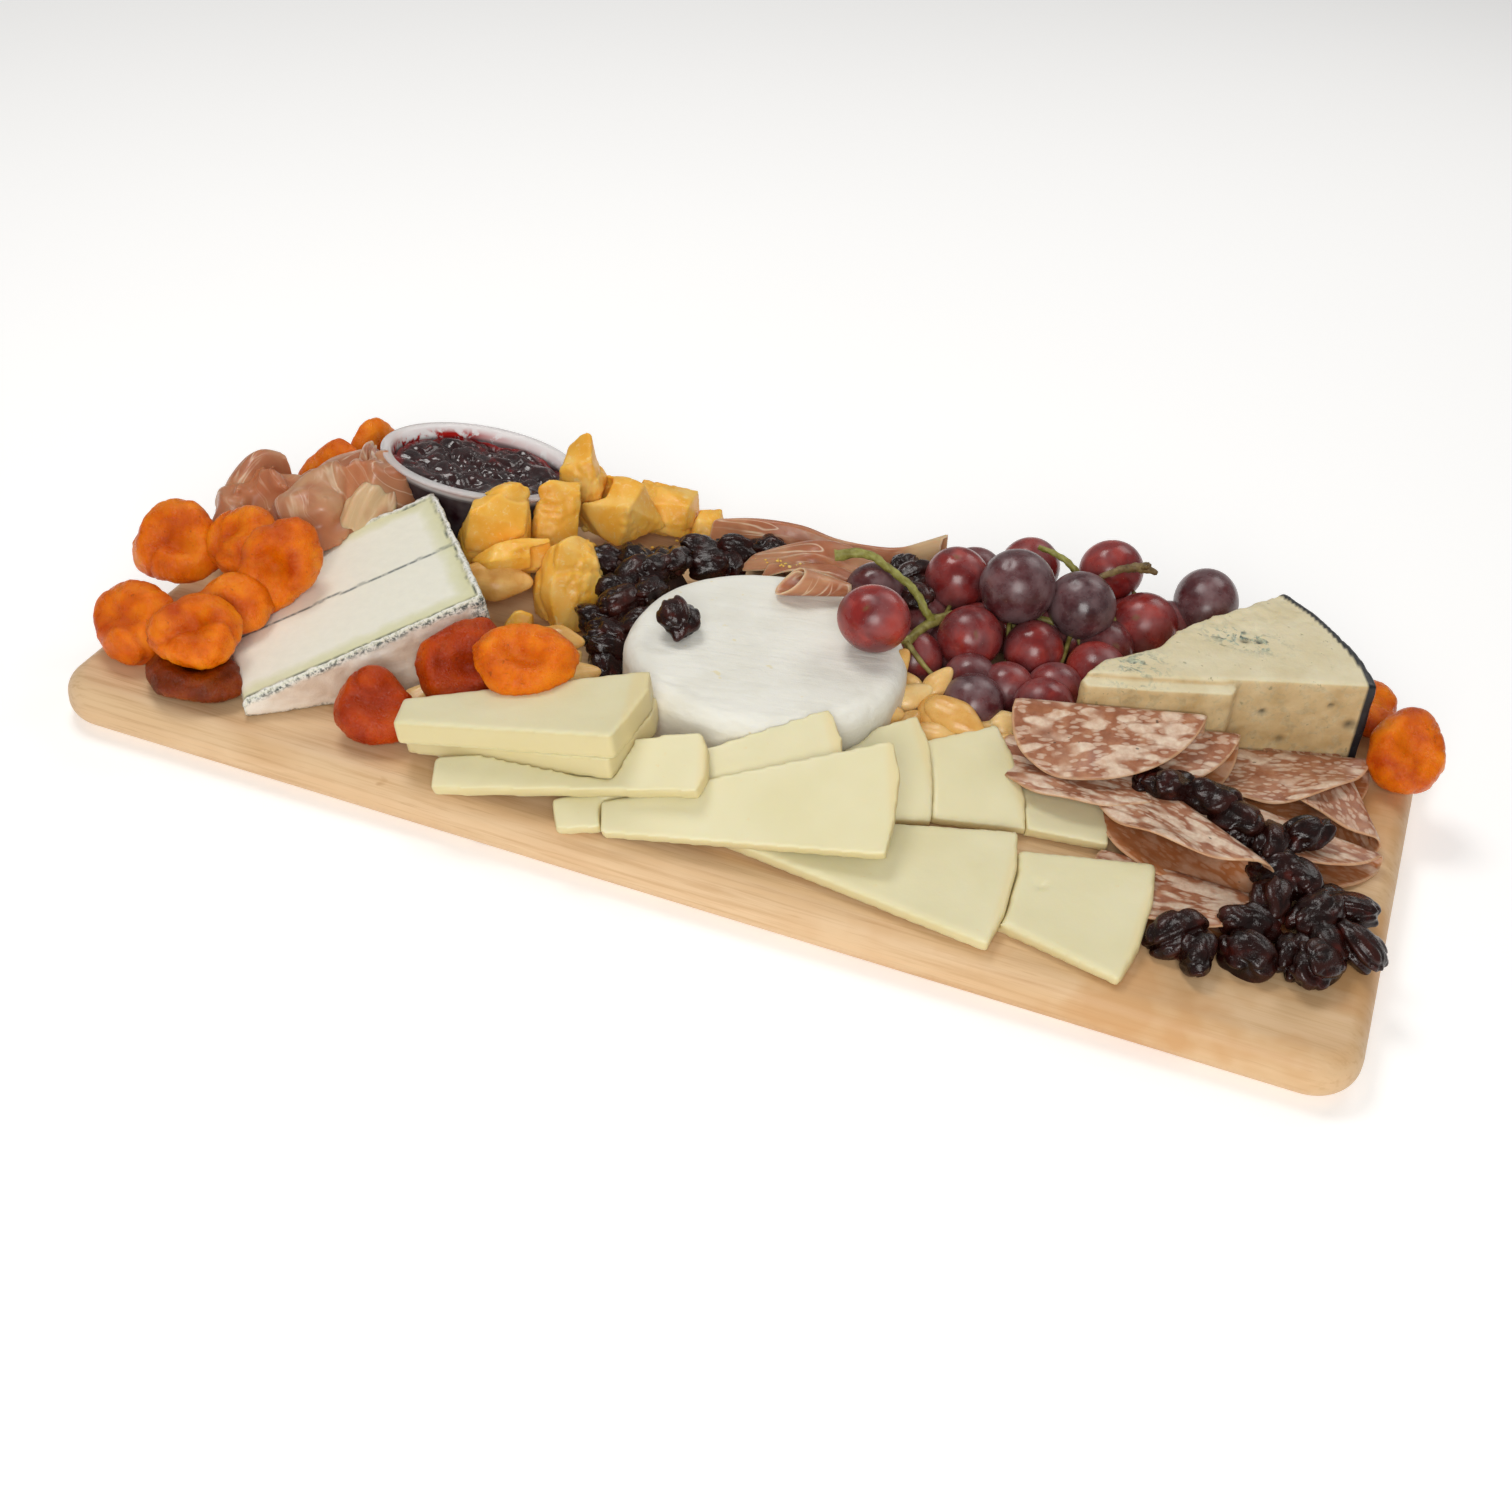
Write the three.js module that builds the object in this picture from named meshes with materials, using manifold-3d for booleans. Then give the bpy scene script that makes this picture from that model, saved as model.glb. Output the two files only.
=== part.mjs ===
// A charcuterie board: a maple board that carries cheeses, cured meats, dried fruit, nuts, grapes and a
// plastic cup of jam. Millimetres, +Z up. The origin is at the middle of the board's underside, X runs
// along the board and the long front edge is at -Y.
import * as THREE from "three";
import { mergeVertices } from "three/addons/utils/BufferGeometryUtils.js";
import { ConvexGeometry } from "three/addons/geometries/ConvexGeometry.js";
import Module from "manifold-3d";

const wasm = await Module();
wasm.setup();

// Driving dimensions.
const BOARD = { length: 508, width: 229, thickness: 19, corner: 18, edge: 8.4 };
const TOP = BOARD.thickness;
const GAP = 0.6; // how far each neighbour is grown before it trims a piece that lies against it
const DETAIL = 0.12; // edges of a trimmed piece shorter than this are closed up
const BRIE = { x: 3, y: -6, radius: 56, height: 31, edge: 8 };
const CUP = { x: -155.5, y: 62.5, rim: 57, radius: 43.4, wall: 1.4, height: 31, taper: 9, flange: 3 };
const CUP_TILT = { x: 10.7, y: -4.1 }; // degrees that the cup leans towards the back and the right
const JAM_BELOW_RIM = 9;
const SLICE_THICKNESS = 5.5;
const ASH_WEDGE = { wheelHeight: 84, length: 93, tipHeight: 8, rindHeight: 41 };
const BLUE_WEDGE = { tip: [124, 15], radius: 113, from: 21.7, to: 57.4, height: 41, ledgeDrop: 3 };
const SALAMI = { radius: 37, thickness: 1.9, rest: 2.8 };

const WOOD = { color: 0xd9b184, roughness: 0.6 };
const BLOOM = { color: 0xf1efe6, roughness: 0.8 };
const PALE_CHEESE = { color: 0xe9e2b4, roughness: 0.45 };
const ORANGE_CHEESE = { color: 0xe9a53f, roughness: 0.4 };
const BLUE_CHEESE = { color: 0xe3d7a8, roughness: 0.5 };
const APRICOT = { color: 0xe0701a, roughness: 0.35 };
const DARK_APRICOT = { color: 0x8a4318, roughness: 0.4 };
const HAM = { color: 0xb98060, roughness: 0.45 };
const SALAMI_MEAT = { color: 0xb07a66, roughness: 0.5 };
const DRIED_CHERRY = { color: 0x2c1418, roughness: 0.25 };
const ALMOND = { color: 0xd9a050, roughness: 0.35 };
const GRAPE = { color: 0x6b2a3c, roughness: 0.35 };
const PLASTIC = { color: 0xe8e4e4, roughness: 0.2 };
const JAM = { color: 0x4a0f18, roughness: 0.15 };

const group = new THREE.Group();
const placed = [];

// ---- solids -------------------------------------------------------------------------------------

function solidFrom(geometry) {
  const bare = new THREE.BufferGeometry();
  bare.setAttribute("position", geometry.getAttribute("position"));
  if (geometry.index) bare.setIndex(geometry.index);
  const merged = mergeVertices(bare, 1e-3);
  return new wasm.Manifold(
    new wasm.Mesh({
      numProp: 3,
      vertProperties: merged.attributes.position.array,
      triVerts: new Uint32Array(merged.index.array),
    }),
  );
}

function geometryFrom(solid) {
  const mesh = solid.getMesh();
  const vertices = new Float32Array(mesh.numVert * 3);
  for (let i = 0; i < mesh.numVert; i++) {
    vertices.set(mesh.vertProperties.subarray(i * mesh.numProp, i * mesh.numProp + 3), i * 3);
  }
  const geometry = new THREE.BufferGeometry();
  geometry.setAttribute("position", new THREE.BufferAttribute(vertices, 3));
  geometry.setIndex(new THREE.BufferAttribute(mesh.triVerts, 1));
  geometry.computeVertexNormals();
  return geometry;
}

// The same solid with every vertex pushed out along its normal.
function grown(solid, by) {
  const geometry = geometryFrom(solid);
  const position = geometry.getAttribute("position");
  const normal = geometry.getAttribute("normal");
  for (let i = 0; i < position.count; i++) {
    position.setXYZ(
      i,
      position.getX(i) + by * normal.getX(i),
      position.getY(i) + by * normal.getY(i),
      position.getZ(i) + by * normal.getZ(i),
    );
  }
  return solidFrom(geometry);
}

function largestBody(solid) {
  return solid.decompose().reduce((a, b) => (a.volume() > b.volume() ? a : b));
}

function boxesMeet(a, b) {
  const p = a.boundingBox();
  const q = b.boundingBox();
  return [0, 1, 2].every((k) => p.min[k] <= q.max[k] && q.min[k] <= p.max[k]);
}

// Lays a piece among those already placed: what it would share with a neighbour is trimmed off it.
function lay(name, solid, finish) {
  let piece = solid;
  for (const other of placed) {
    if (boxesMeet(piece, other.keepOut)) piece = piece.subtract(other.keepOut);
  }
  piece = largestBody(solidFrom(geometryFrom(largestBody(piece)))).simplify(DETAIL);
  placed.push({ keepOut: grown(piece, GAP).add(piece) });
  const mesh = new THREE.Mesh(geometryFrom(piece), new THREE.MeshStandardMaterial(finish));
  mesh.name = name;
  group.add(mesh);
}

// ---- shapes -------------------------------------------------------------------------------------

const unit = (v) => new THREE.Vector3(...v).normalize();
const radians = THREE.MathUtils.degToRad;

// Puts a geometry made round the origin in its place: its own +Z faces along normal, spun by degrees.
function put(geometry, at, normal = [0, 0, 1], spin = 0) {
  geometry.rotateZ(radians(spin));
  geometry.applyQuaternion(new THREE.Quaternion().setFromUnitVectors(unit([0, 0, 1]), unit(normal)));
  geometry.translate(...at);
  return geometry;
}

// An uneven ball with three radii, dented on its +Z side when dent is given.
function lump(radii, { around = 9, rings = 7, unevenness = 0.06, seed = 0, dent = 0 } = {}) {
  const geometry = new THREE.SphereGeometry(1, around, rings);
  const ball = mergeVertices(geometry.deleteAttribute("normal").deleteAttribute("uv"), 1e-4);
  const position = ball.getAttribute("position");
  const v = new THREE.Vector3();
  for (let i = 0; i < position.count; i++) {
    v.fromBufferAttribute(position, i);
    const wave =
      Math.sin(3.1 * v.x + 1.7 * seed) + Math.sin(2.7 * v.y + 2.3 * seed) * Math.cos(2.2 * v.z + seed);
    const bump = 1 + unevenness * wave;
    const hollow = v.z > 0 ? dent * Math.exp(-6 * (v.x * v.x + v.y * v.y)) : 0;
    position.setXYZ(i, radii[0] * bump * v.x, radii[1] * bump * v.y, radii[2] * (bump - hollow) * v.z);
  }
  return ball;
}

// A closed prism: the outline is drawn in XY and rises along Z.
function prism(outline, height) {
  const shape = new THREE.Shape(outline.map(([x, y]) => new THREE.Vector2(x, y)));
  return new THREE.ExtrudeGeometry(shape, { depth: height, bevelEnabled: false });
}

// Points of a circular arc about a centre, from one angle to another in degrees.
function arc([cx, cy], radius, from, to, steps) {
  return Array.from({ length: steps + 1 }, (_, i) => {
    const angle = radians(from + ((to - from) * i) / steps);
    return [cx + radius * Math.cos(angle), cy + radius * Math.sin(angle)];
  });
}

// A closed solid between two parametric surfaces over the unit square.
function between(upper, lower, across, along) {
  const vertices = [];
  const index = [];
  const row = along + 1;
  const layer = (across + 1) * row;
  for (const surface of [upper, lower]) {
    for (let i = 0; i <= across; i++) {
      for (let j = 0; j <= along; j++) vertices.push(...surface(i / across, j / along));
    }
  }
  const quad = (a, b, c, d) => index.push(a, b, c, a, c, d);
  for (let i = 0; i < across; i++) {
    for (let j = 0; j < along; j++) {
      const a = i * row + j;
      quad(a, a + row, a + row + 1, a + 1);
      quad(layer + a, layer + a + 1, layer + a + row + 1, layer + a + row);
    }
  }
  for (let i = 0; i < across; i++) {
    const a = i * row;
    quad(a, layer + a, layer + a + row, a + row);
    const b = a + along;
    quad(b, b + row, layer + b + row, layer + b);
  }
  for (let j = 0; j < along; j++) {
    quad(j, j + 1, layer + j + 1, layer + j);
    const b = across * row + j;
    quad(b, layer + b, layer + b + 1, b + 1);
  }
  const geometry = new THREE.BufferGeometry();
  geometry.setAttribute("position", new THREE.BufferAttribute(new Float32Array(vertices), 3));
  geometry.setIndex(index);
  return geometry;
}

function joined(geometries) {
  return geometries.map(solidFrom).reduce((a, b) => a.add(b));
}

// ---- board --------------------------------------------------------------------------------------

function board() {
  const { length, width, thickness, corner, edge } = BOARD;
  const x = length / 2 - edge;
  const y = width / 2 - edge;
  const r = corner - edge;
  const shape = new THREE.Shape();
  shape.moveTo(-x + r, -y);
  shape.lineTo(x - r, -y);
  shape.absarc(x - r, -y + r, r, -Math.PI / 2, 0);
  shape.lineTo(x, y - r);
  shape.absarc(x - r, y - r, r, 0, Math.PI / 2);
  shape.lineTo(-x + r, y);
  shape.absarc(-x + r, y - r, r, Math.PI / 2, Math.PI);
  shape.lineTo(-x, -y + r);
  shape.absarc(-x + r, -y + r, r, Math.PI, 1.5 * Math.PI);
  const geometry = new THREE.ExtrudeGeometry(shape, {
    depth: thickness - 2 * edge,
    bevelThickness: edge,
    bevelSize: edge,
    bevelSegments: 3,
    curveSegments: 3,
  });
  return geometry.translate(0, 0, edge);
}

// ---- cheeses ------------------------------------------------------------------------------------

function brie() {
  const { x, y, radius, height, edge } = BRIE;
  const rim = (cz, from, to) => arc([radius - edge, cz], edge, from, to, 3);
  const profile = [[0, 0], ...rim(edge * 0.6, -60, 0), ...rim(height - edge, 0, 90), [0, height - 1]];
  const points = profile.map(([r, z]) => new THREE.Vector2(r, Math.max(z, 0)));
  return new THREE.LatheGeometry(points, 24).rotateX(Math.PI / 2).translate(x, y, TOP + 0.3);
}

// A slice of a pressed cheese, a long triangle with its point cut off and its rind end rounded. Its
// lower face runs from tip to end, both given as the middle of that side; lean raises its back edge.
function cheeseSlice({ tip, end, tipWidth, endWidth, thickness = SLICE_THICKNESS, lean = 0, skew = 0 }) {
  const round = 3;
  const from = new THREE.Vector3(...tip);
  const along = new THREE.Vector3(...end).sub(from);
  const length = along.length();
  const outline = [
    [0, -tipWidth / 2],
    [length + skew, -endWidth / 2],
    [length + round + 0.6 * skew, -endWidth / 5],
    [length + round - 0.6 * skew, endWidth / 5],
    [length - skew, endWidth / 2],
    [0, tipWidth / 2],
  ];
  const geometry = prism(outline, thickness).rotateX(radians(lean));
  const pitch = Math.asin(along.z / length);
  geometry.rotateY(-pitch).rotateZ(Math.atan2(along.y, along.x));
  return geometry.translate(...tip);
}

// A sector of a tall small wheel with an ash line, lying on one cut face with the other cut face up.
function ashWedge() {
  const { wheelHeight, length, tipHeight, rindHeight } = ASH_WEDGE;
  const side = [
    [0, 0],
    [length - 2, 0],
    [length + 3, rindHeight * 0.35],
    [length + 3, rindHeight * 0.7],
    [length, rindHeight],
    [0, tipHeight],
  ];
  const geometry = prism(side, wheelHeight).rotateX(Math.PI / 2).translate(0, wheelHeight, 0);
  return geometry.rotateZ(radians(41)).translate(-172, -102, TOP + 0.3);
}

// A sector of a waxed blue cheese. Part of its front cut face has broken away in a ledge.
function blueWedge() {
  const { tip, radius, from, to, height, ledgeDrop } = BLUE_WEDGE;
  const outline = [
    tip,
    [146, 23],
    [172, 33],
    [177, 36],
    ...arc(tip, radius, from, to, 8),
    [166, 84],
    [157, 72],
    [150, 62],
    [146, 46],
    [134, 33],
    [128, 28],
  ];
  const ledge = [
    [122.5, 14],
    [126, 11],
    [150, 19],
    [178, 30],
    [179, 36],
    [150, 30],
    [126, 22],
  ];
  return joined([
    prism(outline, height).translate(0, 0, TOP + 0.3),
    prism(ledge, height - ledgeDrop).translate(0, 0, TOP + 0.3),
  ]);
}

// A broken chunk of hard cheese: the hull of a box whose corners are knocked about.
function chunk([length, width, height], seed) {
  const points = [];
  for (let i = 0; i < 8; i++) {
    const side = (bit) => ((i >> bit) & 1 ? 0.5 : -0.5);
    const knock = (k) => 1 - 0.22 * (1 + Math.sin(7.3 * seed + 4.1 * i + 2.9 * k));
    points.push(
      new THREE.Vector3(side(0) * length * knock(0), side(1) * width * knock(1), side(2) * height * knock(2)),
    );
  }
  points.push(new THREE.Vector3(0.1 * length, -0.55 * width, 0.2 * height * Math.sin(seed)));
  return new ConvexGeometry(points);
}

// ---- jam cup ------------------------------------------------------------------------------------

function lean(geometry) {
  geometry.rotateX(-radians(CUP_TILT.x)).rotateY(-radians(CUP_TILT.y));
  return geometry.translate(CUP.x, CUP.y, CUP.rim);
}

function cupRadius(depth) {
  return CUP.radius - CUP.flange - (CUP.taper * depth) / CUP.height;
}

function cup() {
  const { height, wall, radius, flange } = CUP;
  const profile = [
    [0, -height],
    [cupRadius(height) - 2, -height],
    [cupRadius(height), -height + 2],
    [cupRadius(2), -2],
    [radius, -1.6],
    [radius, 0],
    [cupRadius(0) - wall, 0],
    [cupRadius(height) - wall, -height + 2 * wall],
    [0, -height + wall],
  ];
  const points = profile.map(([r, z]) => new THREE.Vector2(r, z));
  return lean(new THREE.LatheGeometry(points, 20).rotateX(Math.PI / 2));
}

function jam() {
  const play = 0.35;
  const floor = -CUP.height + CUP.wall + play;
  const inner = (z) => CUP.radius - CUP.flange - CUP.wall - play - (CUP.taper * -z) / CUP.height;
  const profile = [
    [0, floor],
    [inner(floor + 1.4), floor + 1.4],
    [inner(-JAM_BELOW_RIM), -JAM_BELOW_RIM],
    [inner(-JAM_BELOW_RIM) * 0.5, -JAM_BELOW_RIM + 1.4],
    [0, -JAM_BELOW_RIM + 0.6],
  ];
  const points = profile.map(([r, z]) => new THREE.Vector2(r, z));
  return lean(new THREE.LatheGeometry(points, 16).rotateX(Math.PI / 2));
}

// ---- cured meats --------------------------------------------------------------------------------

// A round slice folded in half, drawn as the body that its two halves enclose. The crease lies along its
// own Y, the halves lie to -X, and the fold is rounder at its front end, where the slice gapes.
function foldedSlice({ front, back }) {
  const { radius, rest } = SALAMI;
  const outer = (u, v) => {
    const t = radius * 0.96 * (2 * v - 1);
    const half = Math.sqrt(radius * radius - t * t);
    const bend = THREE.MathUtils.lerp(front, back, v) + SALAMI.thickness / 2;
    const a = half * (2 * u - 1);
    const angle = THREE.MathUtils.clamp(a / bend, -Math.PI / 2, Math.PI / 2);
    const beyond = Math.max(Math.abs(a) - (Math.PI / 2) * bend, 0);
    const close = THREE.MathUtils.smoothstep(beyond, 0, 0.8 * radius);
    const z = THREE.MathUtils.lerp(bend * Math.sin(angle), Math.sign(a) * rest, close);
    return [bend * Math.cos(angle) - beyond, t, z];
  };
  const mouth = (u, v) => {
    const from = outer(0, v);
    const to = outer(1, v);
    return from.map((value, k) => THREE.MathUtils.lerp(value, to[k], u));
  };
  return between(mouth, outer, 6, 4);
}

// A crumpled leaf of ham: a ruffled upper surface over a closed body that lies on what is below it.
function ruffle({ length, width, height, waves, depth, phase = 0, twist = 0.8, taper = 0.25 }) {
  const upper = (u, v) => {
    const s = 2 * v - 1;
    const e = 2 * u - 1;
    const crown = (1 - Math.pow(Math.abs(s), 2.6)) * (1 - Math.pow(Math.abs(e), 4));
    const fold = Math.sin(2 * Math.PI * waves * u + phase + twist * s * Math.PI);
    const w = width * (1 - taper * u) * (0.5 + 0.06 * Math.sin(9 * u + phase));
    return [e * length * 0.5 + 2 * Math.sin(5 * v + phase), s * w, 1.5 + crown * (height + depth * fold)];
  };
  const lower = (u, v) => {
    const [x, y] = upper(u, v);
    return [x * 0.96, y * 0.94, -2];
  };
  return between(upper, lower, 9, 4);
}

// ---- heaps --------------------------------------------------------------------------------------

// A mound that fills a heap from the board up: x, y, its two reaches and its height.
function mound([x, y, reachX, reachY, height]) {
  const hill = lump([reachX, reachY, height], { around: 7, rings: 5, unevenness: 0.08, seed: x });
  return hill.translate(x, y, TOP);
}

// Dried cherries heaped on mounds: each cherry is given by its middle.
function cherryHeap(mounds, cherries) {
  const fruit = cherries.map((at, i) => {
    const cherry = lump([12, 9.5, 8], { around: 5, rings: 4, unevenness: 0.1, seed: i });
    return cherry.rotateX(0.4 * Math.sin(i)).rotateZ(2.4 * i).translate(...at);
  });
  return joined([...mounds.map(mound), ...fruit]);
}

// A blanched almond or its pointed half, long along X.
function almond([x, y, z], length, normal, spin) {
  const radii = [length / 2, length * 0.25, length * 0.17];
  return put(lump(radii, { around: 5, rings: 4, unevenness: 0.05 }), [x, y, z], normal, spin);
}

function almondHeap(mounds, nuts) {
  return joined([...mounds.map(mound), ...nuts.map((nut) => almond(...nut))]);
}

// ---- grapes -------------------------------------------------------------------------------------

const GRAPES = [
  [41, 7, 64.5, 12.6, 13.8],
  [28, 56, 46, 11.5, 12.5],
  [52, 36, 31.5, 11.6, 11.6],
  [56, 79, 47, 13, 13],
  [59, 101, 37, 12.2, 12.2],
  [83, 70, 56, 14.8, 14.9],
  [71, 49, 40, 12.6, 13],
  [96, 58, 36, 11.8, 12],
  [109, 78, 50, 13.2, 14],
  [134, 92, 40, 12.8, 13.4],
  [114, 111, 50, 12.4, 13.2],
  [81, 104, 46, 12.2, 13],
  [123, 57, 33, 12.2, 14.5],
  [92, 33, 31, 10.8, 11],
  [83, 14, 33, 11.6, 12],
  [109, 24, 33, 11.6, 12],
  [155, 113, 45, 13, 16],
  [82, 80, 31, 12, 12],
  [106, 84, 31, 12, 12],
];

// The main stem inside the bunch, and the stalk that sticks out of it.
const RACHIS = [[50, 28, 44], [58, 56, 42], [82, 70, 42], [108, 76, 42], [146, 104, 43]];
const STALK = [[22, 78, 58], [36, 70, 60], [47, 62, 58], [56, 54, 52], [58, 56, 42]];

function rod(from, to, radius) {
  const a = new THREE.Vector3(...from);
  const step = new THREE.Vector3(...to).sub(a);
  const geometry = new THREE.CylinderGeometry(radius, radius, step.length(), 3);
  const turn = new THREE.Quaternion().setFromUnitVectors(unit([0, 1, 0]), step.clone().normalize());
  geometry.applyQuaternion(turn);
  return geometry.translate(...a.addScaledVector(step, 0.5).toArray());
}

function nearest(point, points) {
  const far = (p) => Math.hypot(p[0] - point[0], p[1] - point[1], p[2] - point[2]);
  return points.reduce((a, b) => (far(a) < far(b) ? a : b));
}

function grapeBunch() {
  const berries = GRAPES.map(([x, y, z, r, long], i) => {
    const berry = lump([1.05 * long, 1.05 * r, 1.05 * r], { around: 6, rings: 4, unevenness: 0.01 });
    return berry.rotateZ(0.7 * i).translate(x, y, z);
  });
  const main = RACHIS.slice(1).map((p, i) => rod(RACHIS[i], p, 2.4));
  const stalk = STALK.slice(1).map((p, i) => rod(STALK[i], p, 1.9));
  const stems = GRAPES.map(([x, y, z]) => rod([x, y, z], nearest([x, y, z], RACHIS), 2));
  return joined([...berries, ...main, ...stalk, ...stems]);
}

// ---- laying the board ---------------------------------------------------------------------------

lay("board", solidFrom(board()), WOOD);
lay("brie", solidFrom(brie()), BLOOM);
lay("jam_cup", solidFrom(cup()), PLASTIC);
lay("jam", solidFrom(jam()), JAM);

// The pressed cheese lies like roof tiles, so the slices are listed from the top one down.
const SLICES = [
  { tip: [-106, -99, 32], end: [-22, -77, 48], tipWidth: 16, endWidth: 42, thickness: 10.5, skew: -4 },
  { tip: [-106, -91, 22.5], end: [-21, -77, 38], tipWidth: 16, endWidth: 42, thickness: 9.4, skew: -4 },
  { tip: [-88, -107, 21], end: [7, -82, 41], tipWidth: 13, endWidth: 25, lean: 24, thickness: 6.5 },
  { tip: [-22, -104, 22], end: [75, -71, 41], tipWidth: 13, endWidth: 46, lean: 25, skew: -2.5 },
  { tip: [-39, -108, 20], end: [50, -59, 40], tipWidth: 13, endWidth: 46, lean: 22, skew: -3 },
  { tip: [4, -80, 22], end: [77, -32, 28], tipWidth: 13, endWidth: 46, lean: 22, skew: -3 },
  { tip: [18, -90, 21], end: [122, -81, 22.5], tipWidth: 13, endWidth: 58, lean: 6 },
  { tip: [30, -58, 20], end: [108, -19, 25], tipWidth: 13, endWidth: 51, lean: 14, skew: 1 },
  { tip: [72, -78, 20], end: [170, -77, 21.5], tipWidth: 14, endWidth: 61, lean: 5 },
  { tip: [60, -43, 19.6], end: [141, -12, 20.5], tipWidth: 14, endWidth: 54, lean: 4, skew: 0 },
];
SLICES.forEach((slice, i) => lay(`cheese_slice_${i + 1}`, solidFrom(cheeseSlice(slice)), PALE_CHEESE));

lay("ash_wedge", solidFrom(ashWedge()), BLOOM);
lay("blue_wedge", blueWedge(), BLUE_CHEESE);

// Each apricot: its middle, its three radii, the way its flat side faces, its spin and its dent.
const APRICOTS = [
  [[-192, -45, 50], [14, 21, 9], [0.35, -0.85, 0.4], 0, 0.55],
  [[-243, -37, 43], [19, 17, 10], [0.1, -0.7, 0.7], 20, 0.35],
  [[-214, -33, 49], [14, 16, 10], [-0.3, -0.5, 0.8], 40, 0.2],
  [[-202, -67, 41], [19, 12, 9.5], [0.5, -0.4, 0.75], 60, 0.1],
  [[-203, -87, 41], [18, 15, 9], [0.1, -0.5, 0.86], 10, 0.45],
  [[-235, -80, 32], [18, 16, 12], [-0.2, -0.6, 0.75], 15, 0.15],
  [[-199, -94, 25.5], [20, 14, 6.5], [0, 0, 1], 5, 0.1],
  [[-222, 48, 36], [20, 15, 8], [-0.2, -0.9, 0.35], 25, 0.2],
  [[-222, 84, 33.5], [14.5, 14, 6.5], [0.9, -0.3, 0.1], 0, 0.2],
  [[-122, -89, 31], [17, 12, 10], [0.2, -0.6, 0.75], 15, 0.2],
  [[-100, -62, 42], [17, 16, 10], [0.45, -0.75, 0.45], 60, 0.15],
  [[-71, -69, 56.5], [19, 14, 8], [0.1, -0.45, 0.88], 5, 0.3],
  [[246, 57, 34], [14, 17, 12], [0.3, -0.6, 0.75], 0, 0.3],
  [[231, 92, 27], [11, 14, 8], [0.2, 0, 1], 0, 0.2],
];
APRICOTS.forEach(([at, radii, facing, spin, dent], i) => {
  const geometry = put(lump(radii, { around: 8, rings: 6, seed: i, dent }), at, facing, spin);
  lay(`apricot_${i + 1}`, solidFrom(geometry), i === 6 ? DARK_APRICOT : APRICOT);
});

const lone = lump([11, 9, 6.5], { unevenness: 0.12, seed: 3 });
lay("cherry_single", solidFrom(put(lone, [-31, -15, 56.5])), DRIED_CHERRY);

// Cheddar chunks: middle, size, spin about Z and tip about X.
const CHUNKS = [
  [[-133, 26, 43], [33, 24, 47], 35, 10],
  [[-112, 44, 44], [22, 11, 42], 30, -12],
  [[-113, 76, 52], [24, 19, 32], 10, 20],
  [[-98, 78, 41], [36, 28, 28], -15, 12],
  [[-86, 101, 32], [36, 24, 22], 5, 0],
  [[-65, 104, 27], [18, 16, 15], 30, 0],
  [[-92, 14, 37], [31, 23, 42], 50, -14],
  [[-115, 12, 46], [34, 14, 18], 45, 30],
  [[-104, -6, 27], [14, 10, 15], 10, 0],
];
CHUNKS.forEach(([at, size, spin, tip], i) => {
  const geometry = chunk(size, i + 1).rotateX(radians(tip)).rotateZ(radians(spin)).translate(...at);
  lay(`cheddar_${i + 1}`, solidFrom(geometry), ORANGE_CHEESE);
});

lay("almond_large", solidFrom(almond([-116, 6, 36], 27, [0.2, -0.6, 0.8], 20)), ALMOND);
lay("grape_bunch", grapeBunch(), GRAPE);

// Dried cherries: the mounds that carry them and the middle of each one on top.
const CENTRE_CHERRIES = [
  [-84, 37, 39],
  [-71, 40, 41],
  [-58, 46, 41],
  [-55, 68, 36],
  [-42, 76, 35],
  [-31, 87, 33],
  [-57, 18, 43],
  [-65, 8, 41],
  [-54, -2, 40],
  [-64, -10, 37],
  [-57, -24, 32],
];
const CENTRE_MOUNDS = [
  [-80, 42, 14, 14, 18],
  [-62, 48, 18, 17, 19],
  [-42, 74, 18, 13, 14],
  [-66, 15, 12, 18, 19],
  [-63, -12, 9, 14, 14],
];
const RIGHT_CHERRIES = [
  [166, -8, 35],
  [180, -9, 36],
  [192, -15, 34],
  [205, -21, 32],
  [217, -9, 32],
  [212, -32, 29],
  [218, -33, 28],
  [211, -48, 27],
  [227, -50, 29],
  [238, -41, 28],
  [243, -57, 26],
  [233, -64, 26],
  [231, -74, 26.5],
  [207, -62, 26],
  [207, -77, 25],
  [191, -83, 24.5],
];
const GRAPE_CHERRIES = [
  [30, 90, 40],
  [38, 76, 44],
  [43, 58, 46],
];
lay("cherry_heap_centre", cherryHeap(CENTRE_MOUNDS, CENTRE_CHERRIES), DRIED_CHERRY);
lay("cherry_heap_right", cherryHeap([], RIGHT_CHERRIES), DRIED_CHERRY);
lay("cherry_heap_back", cherryHeap([[38, 74, 12, 16, 22]], GRAPE_CHERRIES), DRIED_CHERRY);

// Salami slices, top slice first: the middle of the crease, the way it runs, how far the slice slopes
// down from it and how wide the fold is at either end.
const SALAMI_SLICES = [
  { at: [137, 11, 46], heading: 196, slope: 31, front: 4, back: 3 },
  { at: [151, 16, 38], heading: 197, slope: 25, front: 4, back: 3 },
  { at: [138, -3, 28], heading: 171, slope: 4, front: 6, back: 3 },
  { at: [177, -21, 29], heading: 141, slope: 4, front: 8.5, back: 3 },
  { at: [201, 40, 26], heading: 197, slope: 4, front: 4, back: 3 },
  { at: [227, 38, 24], heading: 112, slope: 3, front: 4, back: 3 },
  { at: [210, 4, 22.5], heading: 170, slope: 0, front: 3, back: 2.5 },
  { at: [186, -44, 21.5], heading: 178, slope: 0, front: 2.5, back: 2.5 },
];
SALAMI_SLICES.forEach(({ at, heading, slope, ...fold }, i) => {
  const geometry = foldedSlice(fold).rotateY(-radians(slope)).rotateZ(radians(heading - 90));
  lay(`salami_${i + 1}`, solidFrom(geometry.translate(...at)), SALAMI_MEAT);
});

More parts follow.
